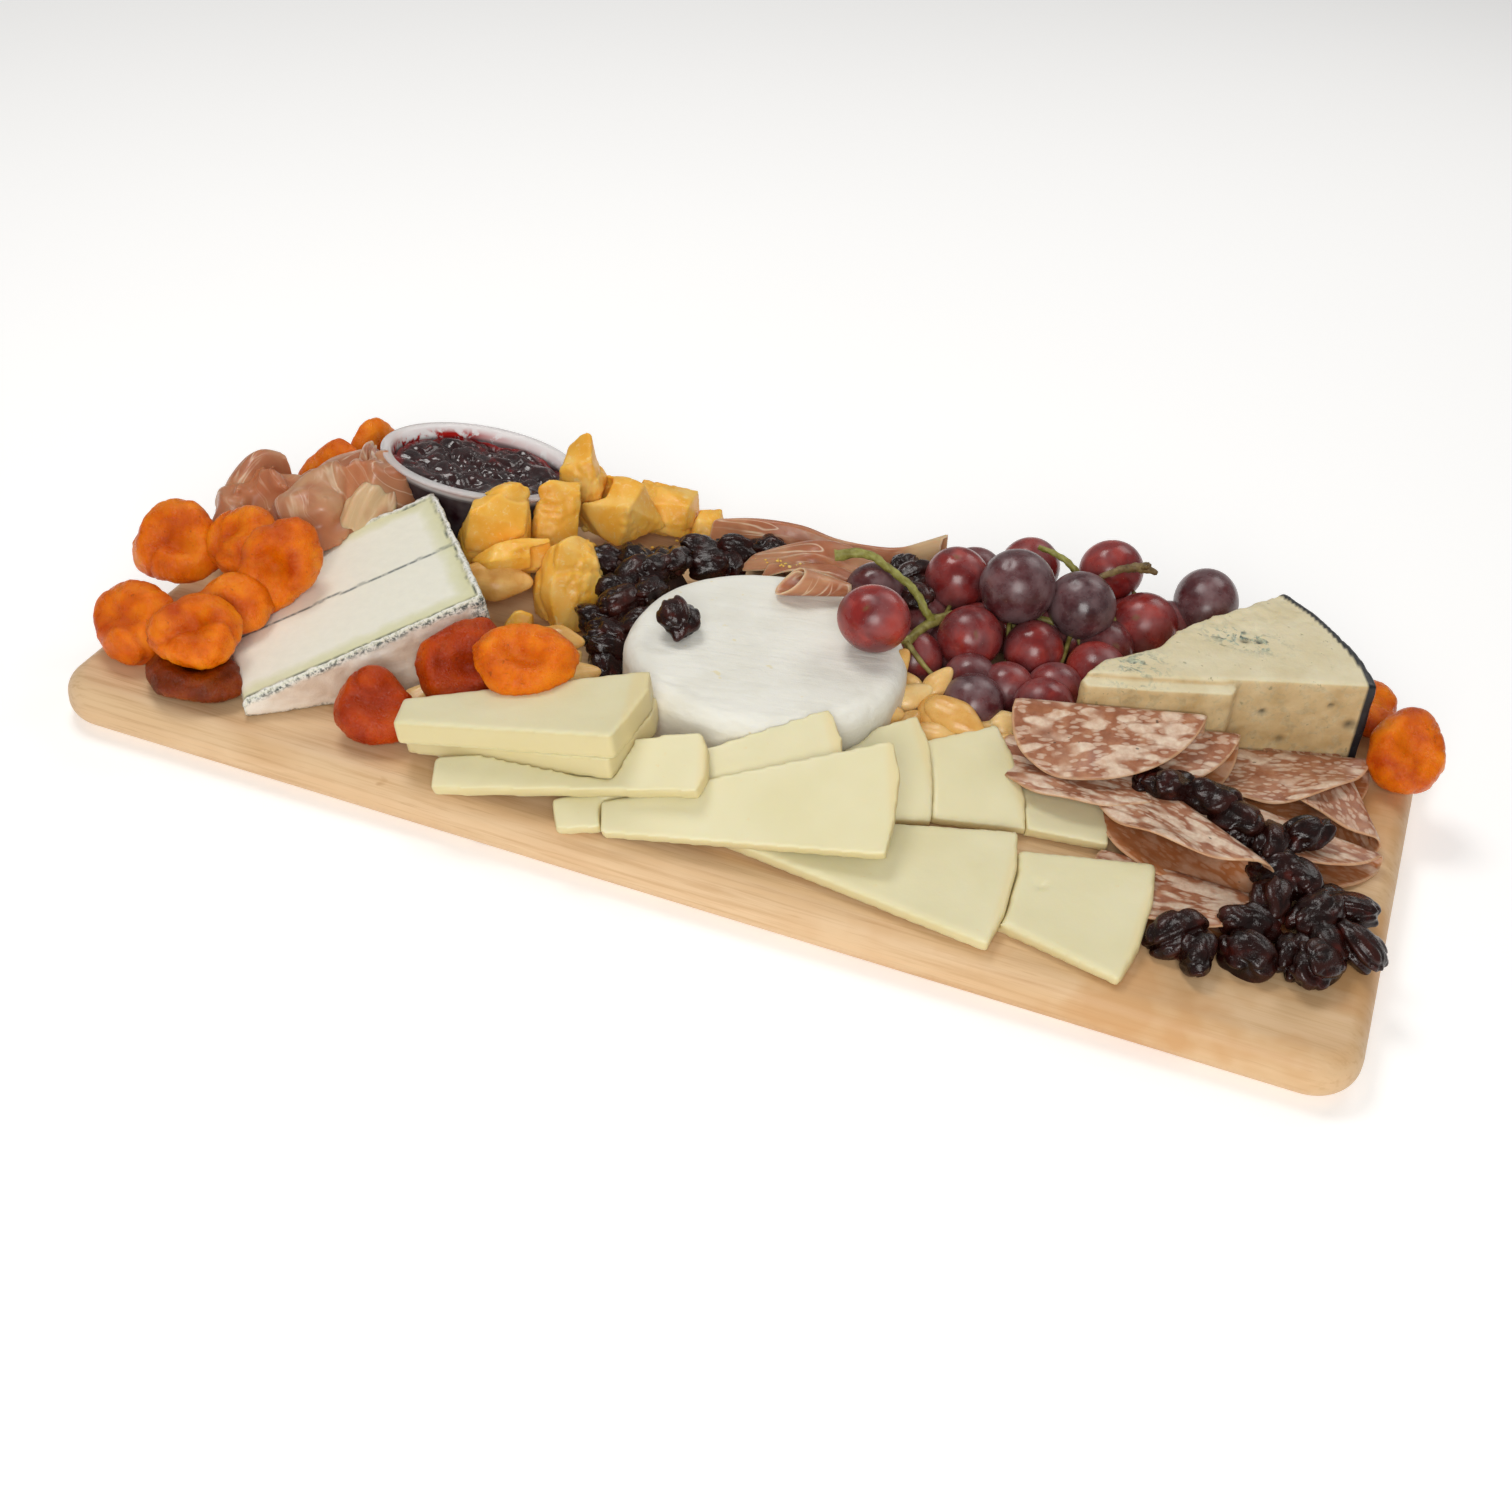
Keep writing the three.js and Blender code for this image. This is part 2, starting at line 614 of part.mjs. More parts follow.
// Leaves of cured ham: middle, heading and the size of the crumple.
const LEAVES = [
  { at: [-191, 15, 39], heading: 62, length: 80, width: 44, height: 26, waves: 2.5, depth: 5 },
  { at: [-230, 12, 34], heading: 20, length: 46, width: 42, height: 20, waves: 2, depth: 5, phase: 1 },
  { at: [8, 36, 50], heading: -8, length: 34, width: 16, height: 7, waves: 1.5, depth: 3 },
  { at: [-8, 70, 21], heading: 14, length: 60, width: 30, height: 22, waves: 2, depth: 4, phase: 2 },
  { at: [2, 100, 20], heading: 13, length: 104, width: 18, height: 18, waves: 2.5, depth: 3, phase: 0.5 },
];
LEAVES.forEach(({ at, heading, ...crumple }, i) => {
  const geometry = ruffle(crumple).rotateZ(radians(heading)).translate(...at);
  lay(`prosciutto_${i + 1}`, solidFrom(geometry), HAM);
});

const LEFT_ALMONDS = [
  [[-77, -26, 39], 22, [0, -0.4, 0.9], 10],
  [[-62, -41, 36], 20, [0.2, -0.3, 0.9], 40],
  [[-116, -70, 26], 20, [0, -0.4, 0.9], 60],
  [[-90, -62, 34], 22, [0, -0.3, 0.9], -20],
];
const CENTRE_ALMONDS = [
  [[49, 7, 40], 27, [-0.3, -0.6, 0.7], 60],
  [[68, 14, 37], 17, [0, -0.5, 0.9], 70],
  [[60, 5, 33], 20, [0, -0.5, 0.9], 40],
  [[50, -13, 34], 23, [0, -0.4, 0.9], 10],
  [[39, -15, 33], 18, [0, -0.4, 0.9], 30],
  [[80, -1, 34], 27, [0, -0.5, 0.9], -15],
  [[77, -3, 28], 22, [0, -0.3, 0.9], 0],
  [[97, 11, 30], 20, [0, -0.4, 0.9], 25],
];
lay("almond_heap_left", almondHeap([[-84, -48, 26, 16, 18], [-104, -62, 16, 12, 12]], LEFT_ALMONDS), ALMOND);
lay("almond_heap_centre", almondHeap([[62, 0, 22, 18, 13], [86, 0, 18, 14, 9]], CENTRE_ALMONDS), ALMOND);

export default group;
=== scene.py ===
"""Looks of the charcuterie board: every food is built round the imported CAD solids, in metres."""

import math

import bpy
import numpy as np
from mathutils import Matrix, Vector


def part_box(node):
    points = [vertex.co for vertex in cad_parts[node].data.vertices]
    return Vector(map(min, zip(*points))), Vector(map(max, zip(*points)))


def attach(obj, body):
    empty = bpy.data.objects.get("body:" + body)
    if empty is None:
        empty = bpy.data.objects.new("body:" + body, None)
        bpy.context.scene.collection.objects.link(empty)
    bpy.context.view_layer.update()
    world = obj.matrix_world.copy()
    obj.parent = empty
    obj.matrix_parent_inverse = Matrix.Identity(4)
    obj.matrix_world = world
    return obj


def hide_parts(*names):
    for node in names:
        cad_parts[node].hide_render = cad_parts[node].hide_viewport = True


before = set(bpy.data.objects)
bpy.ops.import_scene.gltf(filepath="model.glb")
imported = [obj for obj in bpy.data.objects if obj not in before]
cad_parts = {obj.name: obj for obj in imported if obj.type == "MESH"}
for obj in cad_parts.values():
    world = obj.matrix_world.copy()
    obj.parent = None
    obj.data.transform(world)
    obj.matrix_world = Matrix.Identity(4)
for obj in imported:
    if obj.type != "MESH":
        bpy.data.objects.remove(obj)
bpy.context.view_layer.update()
MM = 0.001
BOARD_TOP = 19.0
scene = bpy.context.scene


# ---- noise ----------------------------------------------------------------------------------------

LATTICE = np.random.default_rng(11).uniform(-1, 1, (32, 32, 32))


def noise3(p):
    """Smooth value noise from -1 to 1 at each row of p."""
    cell = np.floor(p).astype(int)
    f = p - cell
    f = f * f * (3 - 2 * f)
    a, b = cell % 32, (cell + 1) % 32
    total = 0
    for i in (0, 1):
        for j in (0, 1):
            for k in (0, 1):
                corner = LATTICE[(a, b)[i][:, 0], (a, b)[j][:, 1], (a, b)[k][:, 2]]
                weight = (f[:, 0] if i else 1 - f[:, 0]) * (f[:, 1] if j else 1 - f[:, 1])
                total = total + corner * weight * (f[:, 2] if k else 1 - f[:, 2])
    return total


def fbm(p, size, octaves, seed):
    """Layered noise of points in millimetres, from -1 to 1; size is the width of its largest bumps."""
    q = p / size + 7.31 * seed
    return sum(noise3(q * 2**k + 3.7 * k) / 2**k for k in range(octaves)) / (2 - 2.0 ** (1 - octaves))


def ridges(p, size, octaves, seed):
    """Noise with sharp valleys, from 0 in a valley upwards."""
    q = p / size + 5.17 * seed
    return sum(np.abs(noise3(q * 2**k + 9.1 * k)) / 2**k for k in range(octaves))


def smooth(x, low, high):
    """A soft step from 0 at low to 1 at high."""
    t = np.clip((x - low) / (high - low), 0, 1)
    return t * t * (3 - 2 * t)


# ---- meshes ---------------------------------------------------------------------------------------


def new_object(name, vertices, faces):
    """A smoothly shaded object from vertices in millimetres."""
    mesh = bpy.data.meshes.new(name)
    mesh.from_pydata((np.asarray(vertices, float) * MM).tolist(), [], faces)
    mesh.update()
    obj = bpy.data.objects.new(name, mesh)
    scene.collection.objects.link(obj)
    mesh.polygons.foreach_set("use_smooth", [True] * len(mesh.polygons))
    return obj


def points(obj):
    co = np.empty(len(obj.data.vertices) * 3)
    obj.data.vertices.foreach_get("co", co)
    return co.reshape(-1, 3) / MM


def normals(obj):
    n = np.empty(len(obj.data.vertices) * 3)
    obj.data.vertices.foreach_get("normal", n)
    return n.reshape(-1, 3)


def set_points(obj, co):
    obj.data.vertices.foreach_set("co", (np.asarray(co) * MM).ravel())
    obj.data.update()


def push(obj, amount):
    """Moves every vertex along its normal by so many millimetres."""
    set_points(obj, points(obj) + normals(obj) * np.asarray(amount)[:, None])


def store(obj, **numbers):
    """Numbers on every vertex, by name, for the material to read."""
    for name, values in numbers.items():
        attribute = obj.data.attributes.new(name, "FLOAT", "POINT")
        attribute.data.foreach_set("value", np.asarray(values, np.float32))


def applied(obj, *modifiers):
    """Adds modifiers, each (type, settings), and bakes them into the mesh."""
    for kind, settings in modifiers:
        modifier = obj.modifiers.new(kind, kind)
        for key, value in settings.items():
            setattr(modifier, key, value)
    graph = bpy.context.evaluated_depsgraph_get()
    mesh = bpy.data.meshes.new_from_object(obj.evaluated_get(graph))
    obj.modifiers.clear()
    old = obj.data
    obj.data = mesh
    bpy.data.meshes.remove(old)
    mesh.polygons.foreach_set("use_smooth", [True] * len(mesh.polygons))
    return obj


def from_cad(node, name, voxel, rounding, turn=None, factor=0.5):
    """A finely meshed copy of a CAD solid, smoothed so many times by factor to round its edges. Turn is the
    solid's own rotation, which keeps the voxels in line with its flat faces."""
    obj = bpy.data.objects.new(name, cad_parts[node].data.copy())
    obj.data.materials.clear()
    scene.collection.objects.link(obj)
    turn = turn or Matrix.Identity(3)
    obj.data.transform(turn.to_4x4().inverted())
    applied(
        obj,
        ("WELD", {"merge_threshold": 0.00002}),
        ("REMESH", {"mode": "VOXEL", "voxel_size": voxel * MM}),
        ("SMOOTH", {"factor": factor, "iterations": rounding}),
    )
    obj.data.transform(turn.to_4x4())
    return obj


def keep(obj, material, slot, *nodes):
    """Finishes a piece: its material, its body and the nodes that it replaces. Its slot is not used."""
    obj.data.materials.clear()
    obj.data.materials.append(material)
    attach(obj, "root")
    if nodes:
        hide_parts(*nodes)
    return obj


def merged(name, parts, *extra):
    """One mesh from many (vertices, faces, value) rows; the value, and any further named numbers, are
    stored on each one's vertices."""
    vertices, faces, tone = [], [], []
    base = 0
    for v, f, value, *_ in parts:
        vertices.append(v)
        faces.extend([tuple(i + base for i in face) for face in f])
        tone.extend([value] * len(v))
        base += len(v)
    obj = new_object(name, np.concatenate(vertices), faces)
    store(obj, tone=tone)
    for k, key in enumerate(extra):
        store(obj, **{key: np.concatenate([part[3 + k] for part in parts])})
    return obj


def ball(around, rings):
    """Vertices and faces of a unit ball."""
    vertices = [(0, 0, 1)]
    for r in range(1, rings):
        a = math.pi * r / rings
        for s in range(around):
            b = 2 * math.pi * s / around
            vertices.append((math.sin(a) * math.cos(b), math.sin(a) * math.sin(b), math.cos(a)))
    vertices.append((0, 0, -1))
    last = len(vertices) - 1
    faces = [(0, 1 + s, 1 + (s + 1) % around) for s in range(around)]
    for r in range(rings - 2):
        for s in range(around):
            a, b = 1 + r * around + s, 1 + r * around + (s + 1) % around
            faces.append((a, a + around, b + around, b))
    base = 1 + (rings - 2) * around
    faces += [(base + s, last, base + (s + 1) % around) for s in range(around)]
    return np.array(vertices), faces


def turned(euler_deg):
    x, y, z = (math.radians(a) for a in euler_deg)
    return np.array(Matrix.Rotation(z, 3, "Z") @ Matrix.Rotation(y, 3, "Y") @ Matrix.Rotation(x, 3, "X"))


def facing(normal, spin=0):
    """The rotation that takes +Z to normal, after a spin about +Z in degrees."""
    quat = Vector((0, 0, 1)).rotation_difference(Vector(normal).normalized())
    return np.array(quat.to_matrix() @ Matrix.Rotation(math.radians(spin), 3, "Z"))


def lofted(rows):
    """Vertices and faces of a closed skin over rows of points: each row is a ring, and the first and the
    last are capped. Seen from the last row, the rings run anticlockwise."""
    height, around = len(rows), len(rows[0])
    faces = [tuple(reversed(range(around)))]
    for i in range(height - 1):
        for j in range(around):
            k = (j + 1) % around
            faces.append((i * around + j, i * around + k, (i + 1) * around + k, (i + 1) * around + j))
    faces.append(tuple(range((height - 1) * around, height * around)))
    return np.array(rows).reshape(-1, 3), faces


def lathe(name, profile, around, centre=(0.0, 0.0)):
    """A solid turned about a vertical axis through centre, from (radius, height) pairs."""
    angles = np.linspace(0, 2 * math.pi, around, endpoint=False)
    rows = [
        [(centre[0] + r * math.cos(a), centre[1] + r * math.sin(a), z) for a in angles] for r, z in profile
    ]
    return new_object(name, *lofted(rows))


def taken(obj):
    """The vertices and faces of a helper object, which is then removed."""
    mesh = obj.data
    shape = points(obj), [tuple(face.vertices) for face in mesh.polygons]
    bpy.data.objects.remove(obj)
    bpy.data.meshes.remove(mesh)
    return shape


# ---- materials ------------------------------------------------------------------------------------


class Paint:
    """A short way to write a node material. Lengths in the shader are millimetres."""

    def __init__(self, name, **sockets):
        self.material = bpy.data.materials.new(name)
        self.material.use_nodes = True
        self.tree = self.material.node_tree
        self.shader = self.tree.nodes["Principled BSDF"]
        for key, value in sockets.items():
            self.shader.inputs[key.replace("_", " ")].default_value = value
        place = self.tree.nodes.new("ShaderNodeTexCoord").outputs["Object"]
        self.place = self.vector("MULTIPLY", place, (1000, 1000, 1000))

    def node(self, kind, *inputs, out=0, **settings):
        """One output of a new node, whose inputs are set or joined in order."""
        node = self.tree.nodes.new(kind)
        for key, value in settings.items():
            setattr(node, key, value)
        for socket, value in zip(node.inputs, inputs):
            self.set(socket, value)
        return node.outputs[out]

    def set(self, socket, value):
        if isinstance(value, bpy.types.NodeSocket):
            self.tree.links.new(value, socket)
        elif value is not None:
            socket.default_value = value

    def math(self, operation, a, b):
        return self.node("ShaderNodeMath", a, b, operation=operation)

    def times(self, a, b):
        return self.math("MULTIPLY", a, b)

    def vector(self, operation, a, b):
        return self.node("ShaderNodeVectorMath", a, b, operation=operation)

    def drawn_out(self, times, turn=0.0):
        """The place, for a pattern drawn out so many times along X, after a turn about Z in degrees."""
        node = self.tree.nodes.new("ShaderNodeMapping")
        node.vector_type = "TEXTURE"
        self.set(node.inputs["Vector"], self.place)
        node.inputs["Rotation"].default_value = (0, 0, math.radians(turn))
        node.inputs["Scale"].default_value = (times, 1, 1)
        return node.outputs[0]

    def noise(self, size, detail=3.0, rough=0.5, place=None, distortion=0.0, offset=0.0):
        node = self.tree.nodes.new("ShaderNodeTexNoise")
        where = place or self.place
        if offset:
            where = self.vector("ADD", where, (offset, offset, offset))
        self.set(node.inputs["Vector"], where)
        node.inputs["Scale"].default_value = 1 / size
        node.inputs["Detail"].default_value = detail
        node.inputs["Roughness"].default_value = rough
        node.inputs["Distortion"].default_value = distortion
        return node.outputs["Fac"]

    def cells(self, size, feature="F1", place=None):
        """The distance from the nearest of the points scattered about size apart."""
        node = self.tree.nodes.new("ShaderNodeTexVoronoi")
        node.feature = feature
        self.set(node.inputs["Vector"], place or self.place)
        node.inputs["Scale"].default_value = 1 / size
        return node.outputs["Distance"]

    def ramp(self, value, *stops):
        """A colour or grey ramp; each stop is (position, colour or grey)."""
        node = self.tree.nodes.new("ShaderNodeValToRGB")
        elements = node.color_ramp.elements
        while len(elements) < len(stops):
            elements.new(0.5)
        for element, (position, colour) in zip(elements, stops):
            element.position = position
            element.color = (*colour, 1) if isinstance(colour, tuple) else (colour, colour, colour, 1)
        self.set(node.inputs[0], value)
        return node.outputs[0]

    def above(self, value, low, high):
        """From 0 where value is under low to 1 where it is over high."""
        return self.ramp(value, (low, 0.0), (high, 1.0))

    def below(self, value, low, high):
        return self.ramp(value, (low, 1.0), (high, 0.0))

    def mix(self, factor, a, b, blend="MIX"):
        node = self.tree.nodes.new("ShaderNodeMix")
        node.data_type = "RGBA"
        node.blend_type = blend
        self.set(node.inputs["Factor"], factor)
        for key, value in (("A", a), ("B", b)):
            socket = [s for s in node.inputs if s.name == key and s.type == "RGBA"][0]
            self.set(socket, (*value, 1) if isinstance(value, tuple) else value)
        return [s for s in node.outputs if s.type == "RGBA"][0]

    def tint(self, colour, amount, strength, toward):
        """A colour taken towards another, by up to strength where amount is 1."""
        return self.mix(self.times(amount, strength), colour, toward)

    def value(self, name):
        """A number stored on the vertices."""
        return self.node("ShaderNodeAttribute", attribute_name=name, out=2)

    def bump(self, height, distance_mm, strength, after=None):
        """Bumps of so many millimetres, on top of those made before."""
        node = self.tree.nodes.new("ShaderNodeBump")
        node.inputs["Strength"].default_value = strength
        node.inputs["Distance"].default_value = distance_mm * MM
        self.set(node.inputs["Height"], height)
        if after is not None:
            self.set(node.inputs["Normal"], after)
        self.set(self.shader.inputs["Normal"], node.outputs[0])
        return node.outputs[0]

    def done(self, colour, roughness=None):
        self.set(self.shader.inputs["Base Color"], colour)
        if roughness is not None:
            self.set(self.shader.inputs["Roughness"], roughness)
        return self.material


def flesh(name, radius_mm, weight, **sockets):
    """A paint with light passing a few millimetres into it."""
    paint = Paint(name, Subsurface_Weight=weight, **sockets)
    paint.shader.inputs["Subsurface Radius"].default_value = [r * MM for r in radius_mm]
    paint.shader.inputs["Subsurface Scale"].default_value = 1.0
    return paint


BOARD_HALF_LENGTH = 254.0


def maple():
    """Grain along the board, darker towards its right end and with darker patches there."""
    p = Paint("maple", Roughness=0.45, Specular_IOR_Level=0.3)
    fibres = p.noise(2.0, 5, 0.62, p.drawn_out(30))
    bands = p.noise(15, 2, 0.5, p.drawn_out(8), 0.8)
    pores = p.noise(0.75, 3, 0.6, p.drawn_out(40))
    base = p.ramp(
        bands,
        (0.3, (0.70, 0.475, 0.265)),
        (0.5, (0.755, 0.535, 0.32)),
        (0.72, (0.655, 0.415, 0.215)),
    )
    grain = p.ramp(fibres, (0.32, (0.80, 0.72, 0.62)), (0.5, (1.0, 1.0, 1.0)), (0.75, (1.03, 1.01, 0.98)))
    colour = p.mix(0.8, base, grain, "MULTIPLY")
    dark = p.below(pores, 0.3, 0.37)
    colour = p.tint(colour, dark, 0.3, (0.42, 0.22, 0.09))
    streak = p.above(p.noise(5.5, 3, 0.5, p.drawn_out(32), offset=70.0), 0.66, 0.71)
    colour = p.tint(colour, streak, 0.35, (0.44, 0.25, 0.12))
    stain = p.noise(34, 3, 0.55, offset=40.0)
    from_middle = p.math("DIVIDE", p.node("ShaderNodeSeparateXYZ", p.place), BOARD_HALF_LENGTH)
    right = p.ramp(from_middle, (0.2, 0.15), (0.8, 1.0))
    # Darker patches, stronger towards the right end.
    dark_patches = p.times(p.above(stain, 0.46, 0.62), right)
    colour = p.tint(colour, dark_patches, 0.75, (0.56, 0.26, 0.08))
    colour = p.tint(colour, right, 0.4, (0.60, 0.37, 0.175))
    knots = p.above(p.noise(11, 2, 0.5, p.drawn_out(2), offset=15.0), 0.745, 0.77)
    colour = p.tint(colour, knots, 0.5, (0.40, 0.19, 0.07))
    p.bump(fibres, 0.06, 0.35)
    return p.done(colour, p.ramp(fibres, (0.3, 0.5), (0.7, 0.4)))


def pale_cheese():
    """Smooth pressed cheese, yellower at the rind end, with painted shade that makes its cut sides darker and
    yellower.
    """
    p = flesh("pressed_cheese", (3.0, 2.2, 1.0), 0.3, Roughness=0.42, Specular_IOR_Level=0.4)
    wide = p.noise(28, 2)
    fine = p.noise(1.3, 4, 0.6)
    colour = p.ramp(wide, (0.3, (0.745, 0.685, 0.42)), (0.7, (0.79, 0.735, 0.485)))
    speck = p.below(p.noise(3.4, 4, 0.62, offset=9.0), 0.28, 0.33)
    colour = p.tint(colour, speck, 0.3, (0.80, 0.60, 0.26))
    # Painted shade: the side faces are taken darker and yellower than the top, as if less lit.
    colour = p.tint(colour, p.value("side"), 0.65, (0.63, 0.515, 0.235))
    colour = p.mix(p.value("rim"), colour, (0.78, 0.63, 0.31))
    first = p.bump(fine, 0.10, 0.35)
    p.bump(p.noise(7, 2), 0.35, 0.3, first)
    return p.done(colour, p.ramp(fine, (0.3, 0.36), (0.7, 0.5)))


def bloomy():
    """A white, felted rind with a few yellow spots."""
    p = flesh("white_rind", (2.0, 1.8, 1.4), 0.2, Roughness=0.75, Specular_IOR_Level=0.2)
    fuzz = p.noise(0.7, 4, 0.7)
    folds = p.noise(4.5, 3, 0.5, p.drawn_out(4, 12), 0.4)
    colour = p.ramp(p.noise(19, 3), (0.3, (0.80, 0.785, 0.70)), (0.55, (0.865, 0.855, 0.78)))
    spots = p.above(p.noise(5.5, 2, 0.4, offset=3.0), 0.73, 0.77)
    colour = p.tint(colour, spots, 0.45, (0.82, 0.68, 0.30))
    colour = p.tint(colour, p.value("side"), 0.35, (0.81, 0.74, 0.56))
    first = p.bump(fuzz, 0.25, 0.45)
    p.bump(folds, 1.0, 0.45, first)
    return p.done(colour)


def ash_cheese():
    """The cut face is chalky with a thin grey line; the rind is wrinkled, grey at its edges."""
    p = flesh("ash_cheese", (2.0, 1.8, 1.3), 0.25, Roughness=0.62, Specular_IOR_Level=0.25)
    depth = p.value("under_rind")
    wander = p.times(p.math("SUBTRACT", p.noise(9, 2), 0.5), 0.35)
    paste = p.ramp(
        p.math("ADD", depth, wander),
        (0.15, (0.70, 0.68, 0.42)),
        (0.42, (0.755, 0.745, 0.53)),
        (0.66, (0.86, 0.845, 0.73)),
    )
    paste = p.mix(0.3, paste, p.ramp(p.noise(3.5, 4, 0.6), (0.3, 0.86), (0.7, 1.0)), "MULTIPLY")
    broken = p.times(p.value("ash"), p.ramp(p.noise(2.6, 3, 0.6), (0.36, 0.45), (0.5, 1.0)))
    colour = p.mix(broken, paste, (0.10, 0.125, 0.125))
    skin = p.ramp(
        p.noise(13, 4, 0.55, p.drawn_out(2.4, 41), 0.5),
        (0.35, (0.68, 0.54, 0.42)),
        (0.5, (0.80, 0.70, 0.59)),
        (0.64, (0.90, 0.85, 0.76)),
    )
    fur = p.noise(1.5, 4, 0.7)
    grey = p.ramp(fur, (0.40, (0.085, 0.10, 0.095)), (0.48, (0.36, 0.37, 0.33)), (0.55, (0.80, 0.78, 0.70)))
    skin = p.mix(p.value("edge"), skin, grey)
    colour = p.mix(p.value("rind"), colour, skin)
    crust = p.ramp(fur, (0.33, (0.20, 0.22, 0.20)), (0.42, (0.62, 0.62, 0.56)), (0.5, (0.84, 0.83, 0.77)))
    colour = p.mix(p.value("crust"), colour, crust)
    patchy = p.times(p.value("seam"), p.ramp(p.noise(2.2, 3), (0.35, 0.2), (0.5, 1.0)))
    colour = p.mix(patchy, colour, (0.09, 0.11, 0.105))
    first = p.bump(p.noise(0.9, 3, 0.6), 0.12, 0.4)
    p.bump(p.times(fur, p.math("MAXIMUM", p.value("rind"), p.value("crust"))), 0.5, 0.6, first)
    return p.done(colour)


def blue_cheese():
    """Brown faces and a pale top with blue-green veins, pits painted dark as their shade, and black wax round
    the outside.
    """
    p = flesh("blue_cheese", (3.0, 2.2, 1.1), 0.25, Roughness=0.5, Specular_IOR_Level=0.4)
    crumb = p.noise(1.6, 5, 0.65)
    top = p.value("top")
    face = p.ramp(
        p.noise(14, 4),
        (0.3, (0.50, 0.335, 0.145)),
        (0.52, (0.63, 0.46, 0.235)),
        (0.75, (0.72, 0.57, 0.33)),
    )
    crown = p.ramp(p.noise(14, 3), (0.3, (0.70, 0.60, 0.37)), (0.7, (0.79, 0.71, 0.49)))
    colour = p.mix(top, face, crown)
    vein = p.above(p.noise(4.5, 5, 0.68, distortion=0.8), 0.50, 0.58)
    vein = p.times(vein, p.math("POWER", p.value("vein"), 1.6))
    mould = p.ramp(
        p.noise(2.0, 3, 0.6),
        (0.38, (0.06, 0.10, 0.09)),
        (0.52, (0.30, 0.38, 0.30)),
        (0.66, (0.55, 0.60, 0.44)),
    )
    colour = p.mix(vein, colour, mould)
    specks = p.above(p.noise(3.2, 2, 0.5, offset=21.0), 0.70, 0.74)
    colour = p.tint(colour, specks, 0.55, (0.24, 0.22, 0.11))
    # Painted shade: the pits are taken almost black, for the shade inside them.
    colour = p.tint(colour, p.value("pit"), 0.9, (0.07, 0.06, 0.035))
    colour = p.mix(p.value("wax"), colour, (0.012, 0.013, 0.016))
    first = p.bump(crumb, 0.35, 0.5)
    p.bump(p.above(p.noise(6, 5, 0.6, distortion=1.0), 0.3, 0.36), 0.5, 0.35, first)
    return p.done(colour, p.ramp(p.value("wax"), (0.0, 0.5), (1.0, 0.33)))


def cheddar():
    p = flesh("orange_cheese", (4.0, 2.0, 0.6), 0.4, Roughness=0.4, Specular_IOR_Level=0.3)
    colour = p.ramp(
        p.noise(12, 4),
        (0.28, (0.85, 0.40, 0.035)),
        (0.5, (0.91, 0.50, 0.075)),
        (0.7, (0.95, 0.61, 0.17)),
    )
    pale = p.above(p.noise(3.0, 5, 0.7, distortion=1.2), 0.56, 0.66)
    colour = p.tint(colour, pale, 0.55, (0.95, 0.74, 0.36))
    p.bump(p.noise(1.0, 4, 0.65), 0.15, 0.45)
    return p.done(colour, p.ramp(p.noise(2.5), (0.35, 0.28), (0.65, 0.5)))


def apricot(name, deep, mid, light):
    """A glossy dried skin in three tones, painted darkest in its folds as their shade."""
    p = flesh(name, (4.0, 1.0, 0.3), 0.35, Roughness=0.32, Specular_IOR_Level=0.22)
    colour = p.ramp(p.noise(12, 3), (0.3, deep), (0.52, mid), (0.72, light))
    # Painted shade: the folds and the hollow are taken towards the deep tone.
    colour = p.tint(colour, p.value("fold"), 0.65, deep)
    dots = p.above(p.noise(3.2, 2, 0.5, offset=31.0), 0.70, 0.75)
    colour = p.tint(colour, dots, 0.4, tuple(0.3 * c for c in deep))
    first = p.bump(p.noise(0.6, 3, 0.6), 0.10, 0.35)
    p.bump(p.noise(1.7, 3, 0.55, distortion=2.2), 0.75, 0.6, first)
    return p.done(colour, p.ramp(p.noise(3), (0.35, 0.24), (0.65, 0.4)))


def cherry_skin():
    p = Paint("dried_cherry", Roughness=0.22, Specular_IOR_Level=0.28, Coat_Weight=0.15, Coat_Roughness=0.08)
    colour = p.ramp(
        p.noise(6, 3),
        (0.38, (0.008, 0.002, 0.0015)),
        (0.6, (0.020, 0.004, 0.003)),
        (0.78, (0.07, 0.010, 0.006)),
    )
    # Painted light: the crests between the creases are taken lighter, as if lit.
    colour = p.tint(colour, p.value("painted_crest_light"), 0.4, (0.07, 0.016, 0.010))
    p.bump(p.noise(1.5, 2, 0.5, distortion=1.6), 0.45, 0.45)
    return p.done(colour, p.ramp(p.noise(2), (0.35, 0.14), (0.65, 0.3)))


def almond_skin():
    p = flesh("almond", (2.4, 1.2, 0.4), 0.2, Roughness=0.3, Specular_IOR_Level=0.4)
    tone = p.value("tone")
    pale = p.ramp(p.noise(7, 3), (0.3, (0.80, 0.52, 0.19)), (0.7, (0.90, 0.66, 0.31)))
    deep = p.ramp(p.noise(7, 3), (0.3, (0.66, 0.30, 0.05)), (0.7, (0.80, 0.47, 0.13)))
    colour = p.mix(tone, pale, deep)
    p.bump(p.noise(1.6, 3, 0.55, p.drawn_out(3)), 0.18, 0.4)
    return p.done(colour, p.ramp(p.noise(3), (0.35, 0.22), (0.65, 0.38)))


